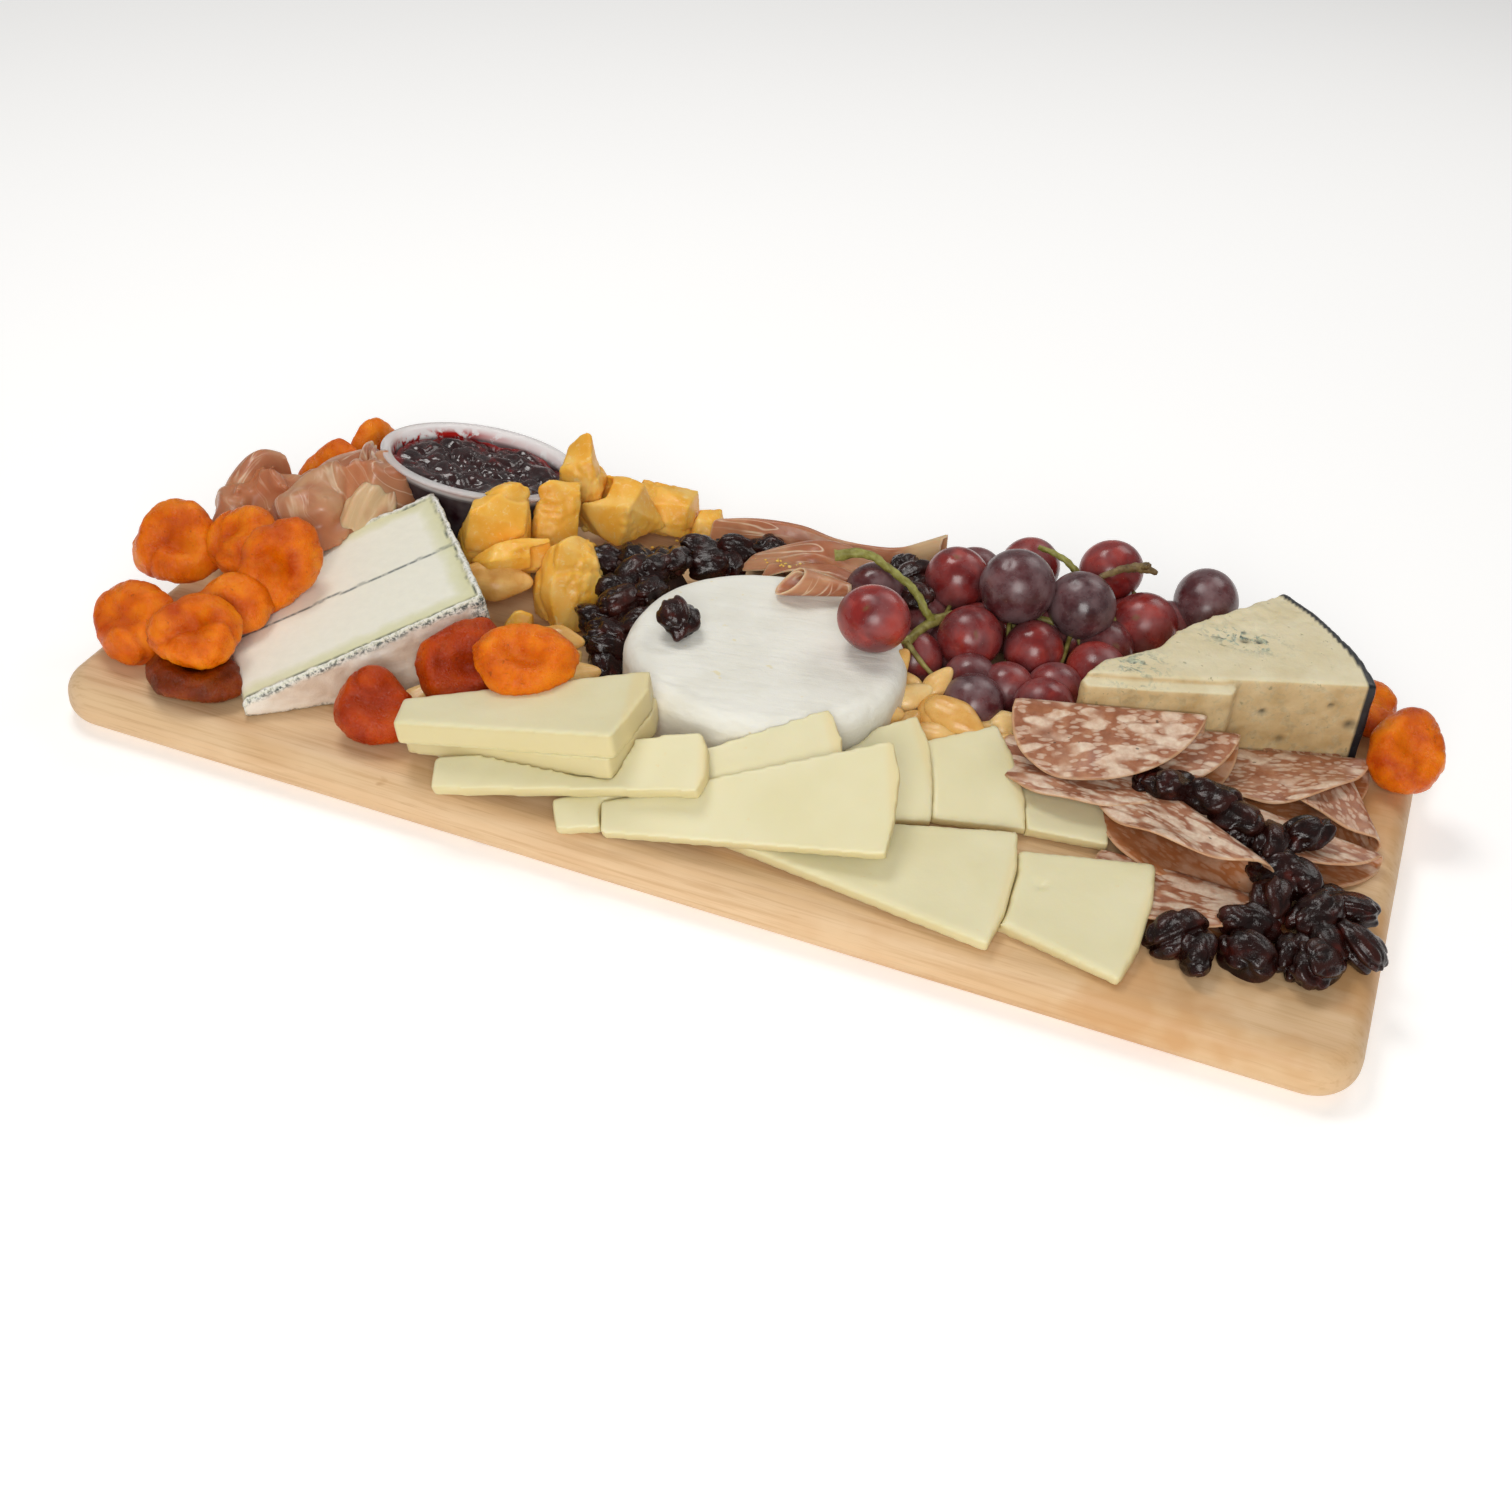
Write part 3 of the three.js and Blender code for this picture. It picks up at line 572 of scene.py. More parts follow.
def grape_skin():
    """Red to plum skins, by each grape's tone, under a hazy bloom."""
    p = flesh("grape", (1.6, 0.5, 0.5), 0.2, Roughness=0.28, Specular_IOR_Level=0.5)
    tone = p.value("tone")
    red = p.ramp(
        p.noise(12, 3, distortion=0.5),
        (0.34, (0.16, 0.010, 0.010)),
        (0.52, (0.30, 0.021, 0.016)),
        (0.7, (0.50, 0.052, 0.033)),
    )
    plum = p.ramp(
        p.noise(13, 3),
        (0.34, (0.045, 0.014, 0.018)),
        (0.6, (0.085, 0.022, 0.026)),
        (0.74, (0.17, 0.032, 0.032)),
    )
    colour = p.mix(tone, red, plum)
    haze = p.above(p.noise(9, 4, 0.55, offset=12.0), 0.36, 0.66)
    fine = p.ramp(p.noise(1.3, 3, 0.6), (0.3, 0.75), (0.7, 1.0))
    haze = p.times(haze, fine)
    amount = p.ramp(tone, (0.0, 0.18), (1.0, 0.5))
    colour = p.tint(colour, haze, amount, (0.34, 0.24, 0.25))
    dots = p.below(p.cells(3.0), 0.05, 0.09)
    colour = p.tint(colour, dots, 0.25, (0.50, 0.32, 0.25))
    colour = p.mix(p.value("scar"), colour, (0.20, 0.10, 0.04))
    p.bump(p.noise(0.9, 3), 0.04, 0.3)
    return p.done(colour, p.ramp(haze, (0.0, 0.2), (1.0, 0.42)))


def stem():
    p = Paint("stem", Roughness=0.5)
    wood = p.ramp(p.noise(4, 4, 0.6), (0.35, (0.11, 0.06, 0.02)), (0.65, (0.26, 0.18, 0.07)))
    green = p.ramp(p.noise(4, 4, 0.6), (0.35, (0.19, 0.17, 0.02)), (0.65, (0.36, 0.36, 0.085)))
    colour = p.mix(p.value("tone"), green, wood)
    p.bump(p.noise(1, 4, 0.65), 0.2, 0.6)
    return p.done(colour)


def salami_meat():
    """Lean meat with big and small grains of fat, laid out over the flat slice."""
    p = flesh("salami", (2.0, 0.9, 0.6), 0.2, Roughness=0.4, Specular_IOR_Level=0.4)
    meat = p.ramp(
        p.noise(6, 4, 0.6),
        (0.3, (0.26, 0.09, 0.044)),
        (0.52, (0.37, 0.15, 0.078)),
        (0.72, (0.47, 0.23, 0.125)),
    )
    flat = p.value("flat_x"), p.times(p.value("flat_y"), 0.42), p.value("leaf")
    flat = p.node("ShaderNodeCombineXYZ", *flat)
    drift = p.node("ShaderNodeTexNoise", flat, None, 0.25, 3.0, out=1)
    warped = p.vector("ADD", flat, p.vector("MULTIPLY", drift, (3.0, 3.0, 0.0)))
    big = p.below(p.cells(4.0, "SMOOTH_F1", warped), 0.32, 0.44)
    some = p.ramp(p.noise(13, 2, place=flat, offset=3.0), (0.38, 0.1), (0.48, 1.0))
    small = p.below(p.cells(1.9, "F1", warped), 0.34, 0.48)
    fat = p.math("MAXIMUM", p.times(big, some), p.times(small, 0.6))
    cream = p.ramp(p.noise(2.2, 3), (0.3, (0.66, 0.46, 0.33)), (0.7, (0.84, 0.70, 0.55)))
    colour = p.tint(meat, fat, 0.88, cream)
    # Painted shade: the inside of the fold is taken to a warmer, darker orange.
    colour = p.tint(colour, p.value("inside"), 0.6, (0.46, 0.16, 0.04))
    colour = p.tint(colour, p.value("border"), 0.75, (0.62, 0.37, 0.2))
    specks = p.above(p.noise(1.6, 1, place=flat, offset=50.0), 0.76, 0.79)
    colour = p.tint(colour, specks, 0.7, (0.05, 0.03, 0.02))
    p.bump(p.noise(1.2, 4, 0.6), 0.22, 0.45)
    return p.done(colour, p.ramp(p.noise(3), (0.35, 0.28), (0.65, 0.46)))


def ham():
    """Lean meat with thin lines of fat along it, fatty patches, a fatty border and painted shade deep in its
    creases.
    """
    p = flesh("ham", (3.0, 1.2, 0.6), 0.35, Roughness=0.36, Specular_IOR_Level=0.45)
    flat = p.node("ShaderNodeCombineXYZ", p.value("flat_x"), p.value("flat_y"), p.value("leaf"))
    wide = p.noise(16, 3, place=flat, distortion=0.5)
    meat = p.ramp(wide, (0.3, (0.36, 0.11, 0.048)), (0.5, (0.47, 0.18, 0.085)), (0.68, (0.57, 0.28, 0.145)))
    along = p.vector("MULTIPLY", flat, (0.2, 1.0, 1.0))
    streak = p.noise(9, 2, 0.4, along, 0.9)
    lines = p.ramp(streak, (0.47, 0.0), (0.50, 1.0), (0.53, 0.0))
    faint = p.above(p.noise(18, 2, place=flat, offset=60.0), 0.42, 0.6)
    colour = p.tint(meat, p.times(lines, faint), 0.85, (0.80, 0.62, 0.45))
    zone = p.above(p.noise(23, 2, place=flat, offset=8.0), 0.42, 0.55)
    zone = p.math("MAXIMUM", p.times(zone, p.value("fatty")), p.value("tail"))
    colour = p.tint(colour, zone, 0.9, (0.68, 0.48, 0.27))
    colour = p.tint(colour, p.value("border"), 0.85, (0.78, 0.59, 0.38))
    # Painted shade: deep in the creases the ham is taken to a darker red.
    colour = p.mix(p.value("deep"), colour, (0.50, 0.16, 0.06))
    p.bump(p.noise(2.0, 3, 0.6, along), 0.2, 0.35)
    return p.done(colour, p.ramp(p.noise(4), (0.35, 0.28), (0.65, 0.46)))


def clear_plastic():
    """Clear above the jam, smeared with it inside, and dark where it is filled."""
    p = Paint("clear_plastic", Roughness=0.2, IOR=1.2, Transmission_Weight=0.5, Specular_IOR_Level=0.5)
    smear = p.times(p.value("smear"), p.above(p.noise(8, 5, 0.62, distortion=0.9), 0.44, 0.50))
    colour = p.mix(smear, (0.97, 0.965, 0.965), (0.42, 0.008, 0.006))
    full = p.times(p.value("filled"), p.ramp(p.noise(12, 3), (0.3, 0.9), (0.7, 1.0)))
    colour = p.mix(full, colour, (0.022, 0.007, 0.010))
    colour = p.tint(colour, p.value("lip"), 0.3, (0.62, 0.25, 0.25))
    p.bump(p.noise(9, 2), 0.1, 0.2)
    opaque = p.math("MAXIMUM", p.times(smear, 0.8), full)
    clear = p.times(p.math("SUBTRACT", 1.0, opaque), 0.5)
    p.set(p.shader.inputs["Transmission Weight"], clear)
    return p.done(colour)


def jam_paint():
    gloss = {"Roughness": 0.18, "Specular_IOR_Level": 0.45, "Coat_Weight": 0.4, "Coat_Roughness": 0.06}
    p = flesh("jam", (2.0, 0.3, 0.3), 0.1, **gloss)
    colour = p.ramp(
        p.noise(6, 3, 0.6),
        (0.35, (0.014, 0.003, 0.004)),
        (0.6, (0.035, 0.007, 0.007)),
        (0.75, (0.14, 0.008, 0.008)),
    )
    colour = p.tint(colour, p.value("thin"), 0.8, (0.32, 0.006, 0.006))
    p.bump(p.noise(2.6, 2, 0.5), 0.2, 0.6)
    return p.done(colour, p.ramp(p.noise(2.5), (0.35, 0.14), (0.65, 0.3)))


def dark_core():
    """Painted shade: the dark seen between the cherries of a heap."""
    p = Paint("heap_shadow", Roughness=0.8)
    return p.done(p.ramp(p.noise(3, 3), (0.3, (0.03, 0.012, 0.010)), (0.7, (0.07, 0.03, 0.02))))


# ---- board ----------------------------------------------------------------------------------------

# How round the board's corners are seen from above, and its edges seen from the end.
BOARD_CORNER = 18.0
BOARD_EDGE = 8.4


def board():
    """A slab with round corners and rounded edges, from a ring of corner arcs at each height."""
    low, high = (np.array(c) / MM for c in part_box("board"))
    outline = []
    for side_x, side_y, start in ((1, 1, 0), (-1, 1, 90), (-1, -1, 180), (1, -1, 270)):
        outline += [(side_x, side_y, math.radians(start + 90 * i / 16)) for i in range(17)]
    arc = np.linspace(0, math.pi / 2, 14)
    profile = [(BOARD_EDGE * (1 - math.sin(a)), low[2] + BOARD_EDGE * (1 - math.cos(a))) for a in arc]
    profile += [(inset, high[2] - (z - low[2])) for inset, z in reversed(profile)]
    x, y = high[0] - BOARD_CORNER, high[1] - BOARD_CORNER
    rows = []
    for inset, z in profile:
        r = BOARD_CORNER - inset
        rows.append([(i * x + r * math.cos(a), j * y + r * math.sin(a), z) for i, j, a in outline])
    keep(new_object("board_wood", *lofted(rows)), maple(), "maple", "board")


# ---- cheeses --------------------------------------------------------------------------------------

BRIE_CENTRE = np.array([3.0, -6.0])
BRIE_RADIUS = 56.0
BRIE_TOP = 50.0


def brie():
    """A wheel with a soft top edge, furrowed round the front of its top."""
    base, top = (c.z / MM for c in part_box("brie"))
    edge, foot = 8.0, 5.0
    side = BRIE_RADIUS - foot
    profile = [(0.5, base)]
    profile += [(r, base) for r in np.linspace(6, side, 10)]
    for a in np.linspace(0.2, 1.5, 8):
        profile.append((side + foot * math.sin(a), base + foot - foot * math.cos(a)))
    profile += [(BRIE_RADIUS, z) for z in np.linspace(base + 6, top - edge, 12)]
    for a in np.linspace(0.1, 1.5, 12):
        profile.append((BRIE_RADIUS - edge * (1 - math.cos(a)), top - edge * (1 - math.sin(a))))
    profile += [(r, top) for r in np.linspace(BRIE_RADIUS - edge - 1, 0.5, 34)]
    obj = lathe("brie_wheel", profile, 200, BRIE_CENTRE)
    p = points(obj)
    radius = np.hypot(*(p[:, :2] - BRIE_CENTRE).T)
    height = (p[:, 2] - base) / (top - base)
    rim = smooth(radius, 30, 54) * smooth(height, 0.6, 1)
    front = smooth(-(p[:, 1] - BRIE_CENTRE[1]), -10, 50)
    furrow = ridges(p * [0.25, 1, 1], 4.5, 2, 2.0)
    lift = 0.35 * fbm(p, 26, 2, 1) - 0.9 * rim * front * (1 - smooth(furrow, 0, 0.3))
    lift += 0.16 * fbm(p, 2.4, 3, 4) + (height < 0.95) * 0.5 * fbm(p, 14, 2, 6) - 0.5
    lift *= smooth(height, 0.0, 0.1)
    push(obj, lift)
    store(obj, side=(1 - smooth(height, 0.3, 0.95)) * smooth(radius, 50, 55))
    keep(obj, bloomy(), "white_rind", "brie")


# Each slice of pressed cheese: the middle of its point and of its rind end, and its lean in degrees.
SLICES = [
    ((-106, -99, 32), (-24, -77, 48), 0),
    ((-106, -91, 22.5), (-21, -77, 38), 0),
    ((-88, -107, 21), (7, -82, 41), 24),
    ((-22, -104, 22), (75, -71, 41), 25),
    ((-39, -108, 20), (50, -59, 40), 22),
    ((4, -80, 22), (77, -32, 28), 22),
    ((18, -90, 21), (122, -81, 22.5), 6),
    ((30, -58, 20), (108, -19, 25), 14),
    ((72, -78, 20), (170, -77, 21.5), 5),
    ((60, -43, 19.6), (141, -12, 20.5), 4),
]

# The slice with small holes, counted from 0, and each hole: how far along it, how far across, its size.
HOLED_SLICE = 8
HOLES = ((44, -3, 1.6), (62, 4, 2.0))


def slices():
    """Wedges of pressed cheese with softly cut edges. Local places are along, across and above a slice."""
    paint = pale_cheese()
    for i, (tip, end, lean) in enumerate(SLICES):
        along = Vector(end) - Vector(tip)
        pitch = math.asin(along.z / along.length)
        turn = (
            Matrix.Rotation(math.atan2(along.y, along.x), 3, "Z")
            @ Matrix.Rotation(-pitch, 3, "Y")
            @ Matrix.Rotation(math.radians(lean), 3, "X")
        )
        node = f"cheese_slice_{i + 1}"
        obj = from_cad(node, f"cheese_cut_{i + 1}", 1.25, 4, turn)
        p = points(obj)
        push(obj, 0.16 * fbm(p, 9, 3, i) + 0.05 * fbm(p, 1.6, 2, i + 0.5))
        local = (p - np.array(tip)) @ np.array(turn)
        store(obj, rim=0.5 * smooth(local[:, 0], along.length - 1.5, along.length + 1.5))
        # Side faces, which the paint takes darker and yellower as painted shade.
        store(obj, side=1 - smooth(np.abs((normals(obj) @ np.array(turn))[:, 2]), 0.35, 0.75))
        for x, y, size in HOLES if i == HOLED_SLICE else ():
            local = (points(obj) - np.array(tip)) @ np.array(turn)
            dent = np.exp(-((local[:, 0] - x) ** 2 + (local[:, 1] - y) ** 2) / size**2)
            push(obj, -1.1 * dent * (local[:, 2] > 3))
        keep(obj, paint, "pressed_cheese", node)


# The ash-lined wedge: its low corner, its turn in degrees, its size, its height at the thin end and at the
# back, and how wide its crust is.
ASH_CORNER = np.array([-172.0, -102.0, 19.3])
ASH_TURN = 41.0
ASH_LENGTH, ASH_WIDTH = 93.5, 84.0
ASH_LOW, ASH_HIGH = 8.0, 41.0
ASH_CRUST = 2.6


def ash_wedge():
    """The sides and the back are rind; the sloping top is cut, with the ash line along its middle."""
    turn = Matrix.Rotation(math.radians(ASH_TURN), 3, "Z")
    obj = from_cad("ash_wedge", "ash_cheese_wedge", 1.15, 3, turn)
    p = points(obj)
    local = (p - ASH_CORNER) @ np.array(turn)
    n = normals(obj) @ np.array(turn)
    sides = smooth(np.abs(n[:, 1]), 0.45, 0.75)
    back = smooth(n[:, 0], 0.5, 0.8)
    rind = np.maximum(sides, back)
    depth = np.minimum(np.minimum(local[:, 1], ASH_WIDTH - local[:, 1]), ASH_LENGTH - local[:, 0])
    ragged = depth + 0.8 * fbm(p, 5, 3, 12)
    crust = (1 - rind) * (1 - smooth(ragged, ASH_CRUST - 0.6, ASH_CRUST))
    seam = (1 - rind) * np.exp(-(((ragged - ASH_CRUST - 0.1) / 0.35) ** 2))
    wrinkle = ridges(local * [0.5, 1, 1], 7, 3, 3.0)
    lift = rind * (1.2 * smooth(wrinkle, 0, 0.5) - 0.9 + 0.6 * fbm(p, 3, 3, 2))
    lift += (1 - rind) * (0.12 * fbm(p, 8, 3, 5) + 0.06 * fbm(p, 1.5, 2, 8))
    lift += crust * (0.5 + 0.9 * fbm(p, 3.0, 2, 9)) - 0.3 * seam
    push(obj, lift)
    run = local * [1, 0, 0] + 1
    wander = 0.9 * fbm(run, 14, 3, 4) + 0.35 * fbm(run, 3.5, 2, 6)
    line = 1 - smooth(np.abs(local[:, 1] - ASH_WIDTH / 2 - wander), 0.35, 0.8)
    store(obj, ash=line * (1 - rind), rind=rind, crust=crust, seam=seam)
    store(obj, under_rind=np.clip(depth / 16, 0, 1))
    roof = ASH_LOW + (ASH_HIGH - ASH_LOW) * np.clip(local[:, 0] / 93, 0, 1.05)
    top_edge = 1 - smooth(roof - local[:, 2] + 0.8 * fbm(p, 6, 2, 3), 1.0, 3.0)
    foot = 1 - smooth(local[:, 2] + 0.6 * fbm(p, 6, 2, 3), 0.6, 2.0)
    back_edge = 1 - smooth(94 - local[:, 0], 2, 9)
    store(obj, edge=np.clip(top_edge + 0.9 * foot + back_edge, 0, 1))
    keep(obj, ash_cheese(), "ash_cheese", "ash_wedge")


# The blue wedge: where its point is, its radius, its turn in degrees and how thick its wax is.
BLUE_TIP = np.array([124.0, 15.0])
BLUE_RADIUS = 113.0
BLUE_TURN = 21.7
BLUE_WAX = 3.4

# Its pits, each a middle and a size, and the middles of the two veined patches on its top.
BLUE_PITS = [
    (223, 54.4, 41.2, 2.0), (199, 44.9, 32.9, 1.6), (189.8, 41.2, 45.8, 1.3), (140.7, 21.7, 53, 1.4),
    (158.9, 28.9, 51.8, 1.4), (214, 51, 50, 1.0), (170, 33, 36, 1.1), (176, 66, 60.3, 1.8),
    (181, 68, 60.3, 1.3),
]
VEINS = (176.0, 65.8)
TIP_VEINS = (140.0, 28.0)


def blue_wedge():
    """Cracked side faces, a smooth top, and wax round the arc."""
    turn = Matrix.Rotation(math.radians(BLUE_TURN), 3, "Z")
    obj = from_cad("blue_wedge", "blue_cheese_wedge", 1.1, 3, turn)
    p = points(obj)
    radius = np.hypot(*(p[:, :2] - BLUE_TIP).T)
    n = normals(obj)
    wax = smooth(radius, BLUE_RADIUS - BLUE_WAX - 0.5, BLUE_RADIUS - BLUE_WAX)
    top = smooth(n[:, 2], 0.5, 0.8)
    side = (1 - top) * (1 - wax)
    cracks = ridges(p, 9, 3, 1.5)
    lift = side * (0.8 * fbm(p, 12, 3, 2) - 1.0 * (1 - smooth(cracks, 0, 0.14)) + 0.35 * fbm(p, 2.2, 3, 7))
    lift += top * (0.25 * fbm(p, 16, 2, 3) + 0.14 * fbm(p, 2, 2, 5)) + 0.35 * wax * fbm(p, 6, 2, 6)
    back_left = smooth(p[:, 1] - 0.75 * (p[:, 0] - BLUE_TIP[0]) - BLUE_TIP[1], 8, 30) * (1 - wax)
    lift += back_left * 1.4 * fbm(p, 5, 3, 11)
    pits = np.zeros(len(p))
    for x, y, z, size in BLUE_PITS:
        away = np.linalg.norm(p - [x, y, z], axis=1) + 0.8 * fbm(p, 3, 2, 4)
        pits = np.maximum(pits, np.exp(-((away / size) ** 2)))
    lift -= 1.5 * pits
    push(obj, lift)
    patch = np.exp(-(((p[:, 0] - VEINS[0]) / 14) ** 2 + ((p[:, 1] - VEINS[1]) / 7) ** 2))
    tip_patch = np.exp(-(((p[:, 0] - TIP_VEINS[0]) / 12) ** 2 + ((p[:, 1] - TIP_VEINS[1]) / 14) ** 2))
    store(obj, vein=np.clip(top * (1.3 * patch + 0.75 * tip_patch + 0.12) + side * 0.35, 0, 1))
    # The pits, which the paint takes almost black as painted shade.
    store(obj, pit=pits, top=top, wax=wax)
    keep(obj, blue_cheese(), "blue_cheese", "blue_wedge")


# How each chunk of cheddar tapers towards its top, leans in x and y, and where its peak is and how high.
CHUNK_SHAPES = [
    (0.25, 5, -1, (7, 3, 6)), (0.1, 1, 2, (-4, 2, 3)), (0.45, -3, 0, (-1, 4, 9)), (0.3, 2, -3, (6, 2, 4)),
    (0.2, 4, 1, (8, 1, 2)), (0.3, 0, 2, (3, 2, 2)), (0.5, 3, 2, (-3, 3, 5)), (0.2, 2, 0, (4, 0, 2)),
    (0.4, 1, 1, (0, 0, 2)),
]

# Where crumbs lie: a middle, how far they spread, their spread in y as a share of that, and their scale.
CRUMB_SPOTS = (
    ((-113, 30, 26), 22, 0.6, 1.0),
    ((-96, 60, 30), 26, 0.6, 1.0),
    ((-75, 96, 24), 20, 0.6, 1.0),
    ((-12, 52, 50.5), 12, 0.25, 0.35),
)
CRUMB_COUNT = 64


def cheddar_chunks():
    """Chunks broken off a block: stepped faces with rough crumbly patches."""
    paint = cheddar()
    for i, (taper, lean_x, lean_y, (peak_x, peak_y, peak)) in enumerate(CHUNK_SHAPES):
        node = f"cheddar_{i + 1}"
        low, high = (np.array(c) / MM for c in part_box(node))
        obj = from_cad(node, f"cheddar_chunk_{i + 1}", 1.0, 1)
        p = points(obj)
        centre, half = (low + high) / 2, (high - low) / 2
        t = (p[:, 2] - low[2]) / (high[2] - low[2])
        q = p - centre
        q[:, :2] *= (1.04 - taper * smooth(t, 0.35, 1.1))[:, None]
        q[:, 0] += lean_x * smooth(t, 0.3, 1)
        q[:, 1] += lean_y * smooth(t, 0.3, 1)
        away_x, away_y = (q[:, 0] - peak_x) / (0.55 * half[0]), (q[:, 1] - peak_y) / (0.55 * half[1])
        q[:, 2] += smooth(t, 0.7, 1) * (peak * np.exp(-(away_x**2 + away_y**2)) - 1.5)
        p = q + centre
        p[:, 2] = np.maximum(p[:, 2], low[2])
        set_points(obj, p)
        p = points(obj)
        steps = ridges(p + 2 * fbm(p, 9, 2, i)[:, None], 24, 1, i + 0.3)
        crumbs = ridges(p, 3.4, 2, i + 2.3)
        rough = smooth(fbm(p, 13, 1, i + 8), 0.18, 0.32)
        lift = 0.7 * fbm(p, 16, 1, i) - 0.9 * (1 - smooth(steps, 0, 0.06))
        push(obj, lift + rough * (0.8 * (crumbs - 0.4) + 0.5 * fbm(p, 2.2, 2, i + 4)))
        keep(obj, paint, "orange_cheese", node)
    crumb_parts = []
    rng = np.random.default_rng(5)
    for k in range(CRUMB_COUNT):
        middle, reach, flat, scale = CRUMB_SPOTS[k % len(CRUMB_SPOTS)]
        v, faces = ball(9, 6)
        size = rng.uniform(0.5, 1.8) * scale
        v = v * (1 + 0.35 * fbm(v * 10, 6, 1, k))[:, None] * size * [1.3, 1, 0.8]
        shift = np.array([*rng.uniform(-reach, reach, 2) * [1, flat], 0])
        crumb_parts.append((v + (np.array(middle) + shift), faces, 0.0))
    keep(merged("cheddar_crumbs", crumb_parts), paint, "orange_cheese")


# ---- dried fruit ----------------------------------------------------------------------------------

# Each apricot: its middle and the way its flat side faces.
APRICOTS = [
    ((-192, -45, 50), (0.35, -0.85, 0.4)),
    ((-243, -37, 43), (0.1, -0.7, 0.7)),
    ((-214, -33, 49), (-0.3, -0.5, 0.8)),
    ((-202, -67, 41), (0.5, -0.4, 0.75)),
    ((-203, -87, 41), (0.1, -0.5, 0.86)),
    ((-235, -80, 32), (-0.2, -0.6, 0.75)),
    ((-199, -94, 25.5), (0, 0, 1)),
    ((-222, 48, 36), (-0.2, -0.9, 0.35)),
    ((-222, 84, 33.5), (0.9, -0.3, 0.1)),
    ((-122, -89, 31), (0.2, -0.6, 0.75)),
    ((-100, -62, 42), (0.45, -0.75, 0.45)),
    ((-71, -69, 56.5), (0.1, -0.45, 0.88)),
    ((246, 57, 34), (0.3, -0.6, 0.75)),
    ((231, 92, 27), (0.2, 0, 1)),
]
# Which of them, counted from 0, is brown and which are a deeper orange.
DARK_APRICOT = 6
DEEP_APRICOTS = (9, 10)


def apricots():
    """Dried halves: each has a hollow, a puffed rim, creases across it and folds round its edge."""
    bright = apricot("apricot", (0.52, 0.066, 0.0), (0.77, 0.162, 0.0), (0.90, 0.27, 0.006))
    deep = apricot("apricot_deep", (0.28, 0.020, 0.0), (0.44, 0.045, 0.0), (0.58, 0.085, 0.0))
    brown = apricot("apricot_brown", (0.09, 0.012, 0.0), (0.20, 0.026, 0.0), (0.30, 0.055, 0.0))
    for i, (middle, face) in enumerate(APRICOTS):
        node = f"apricot_{i + 1}"
        obj = from_cad(node, f"dried_apricot_{i + 1}", 0.95, 6, factor=0.6)
        local = (points(obj) - np.array(middle)) @ facing(face)
        angle = np.arctan2(local[:, 1], local[:, 0])
        outline = 1.04 + 0.07 * np.sin(2 * angle + 1.7 * i) + 0.05 * np.sin(3 * angle + 2.3 * i)
        local[:, :2] *= (outline + 0.02 * np.sin(5 * angle + i))[:, None]
        set_points(obj, local @ facing(face).T + np.array(middle))
        p = points(obj)
        reach = np.hypot(local[:, 0], local[:, 1])
        angle = angle + 0.35 * fbm(p, 12, 2, i + 3)
        upper = smooth(local[:, 2], -3, 2)
        spoke = np.stack([np.cos(angle) * 12, np.sin(angle) * 12, reach * 0.2 + 4 * i], 1)
        radial = ridges(spoke, 3.0, 2, i + 0.2)
        crease = ridges(p + 2.5 * fbm(p, 14, 2, i)[:, None], 30, 1, i + 0.7)
        off = np.array([1.5 * math.sin(2 * i), 1.5 * math.cos(3 * i), 0])
        stretch = np.array([0.42, 1.0, 0.2]) if i % 2 else np.array([0.75, 0.85, 0.2])
        hollow = np.exp(-((((local - off) * stretch) ** 2).sum(1)) / 14) * upper
        rim = np.exp(-(((reach - 12) / 4.5) ** 2)) * upper
        lift = 1.2 * fbm(p, 15, 1, i + 5) + 0.9 * smooth(crease, 0, 0.10) - 0.2
        lift += 0.45 * (smooth(radial, 0, 0.4) - 0.8) * smooth(reach, 3, 9)
        lift += 0.22 * (ridges(p, 2.6, 2, i) - 0.4) + 1.2 * rim - 3.8 * hollow
        push(obj, lift)
        # Where the skin is painted darker as shade: the creases, the hollow and the folds round the edge.
        folded = 0.6 * (1 - smooth(crease, 0, 0.12)) + 0.8 * hollow + 0.2 * (1 - smooth(radial, 0, 0.2))
        store(obj, fold=np.clip(folded, 0, 1))
        paint, slot = bright, "apricot"
        if i == DARK_APRICOT:
            paint, slot = brown, "dark_apricot"
        elif i in DEEP_APRICOTS:
            paint = deep
        keep(obj, paint, slot, node)


# Where the middle of each cherry is, heap by heap.
CENTRE_CHERRIES = [
    (-84, 37, 39), (-71, 40, 41), (-58, 46, 41), (-55, 68, 36), (-42, 76, 35), (-31, 87, 33),
    (-57, 18, 43), (-65, 8, 41), (-54, -2, 40), (-64, -10, 37), (-57, -24, 32),
    (-68, 29, 41), (-47, 58, 38), (-72, 18, 39), (-78, 47, 33), (-66, 54, 35), (-60, -17, 36),
    (-70, -2, 35), (-42, 66, 33), (-62, 34, 43),
]
RIGHT_CHERRIES = [
    (166, -8, 35), (180, -9, 36), (192, -15, 34), (205, -21, 32), (217, -9, 32), (212, -32, 29),
    (218, -33, 28), (211, -48, 27), (227, -50, 29), (238, -41, 28), (243, -57, 26), (233, -64, 26),
    (231, -74, 26.5), (207, -62, 26), (207, -77, 25), (191, -83, 24.5),
]
BACK_CHERRIES = [(30, 90, 40), (38, 76, 44), (43, 58, 46), (36, 66, 40), (46, 70, 38)]
LONE_CHERRY = [(-31, -15, 56.5)]


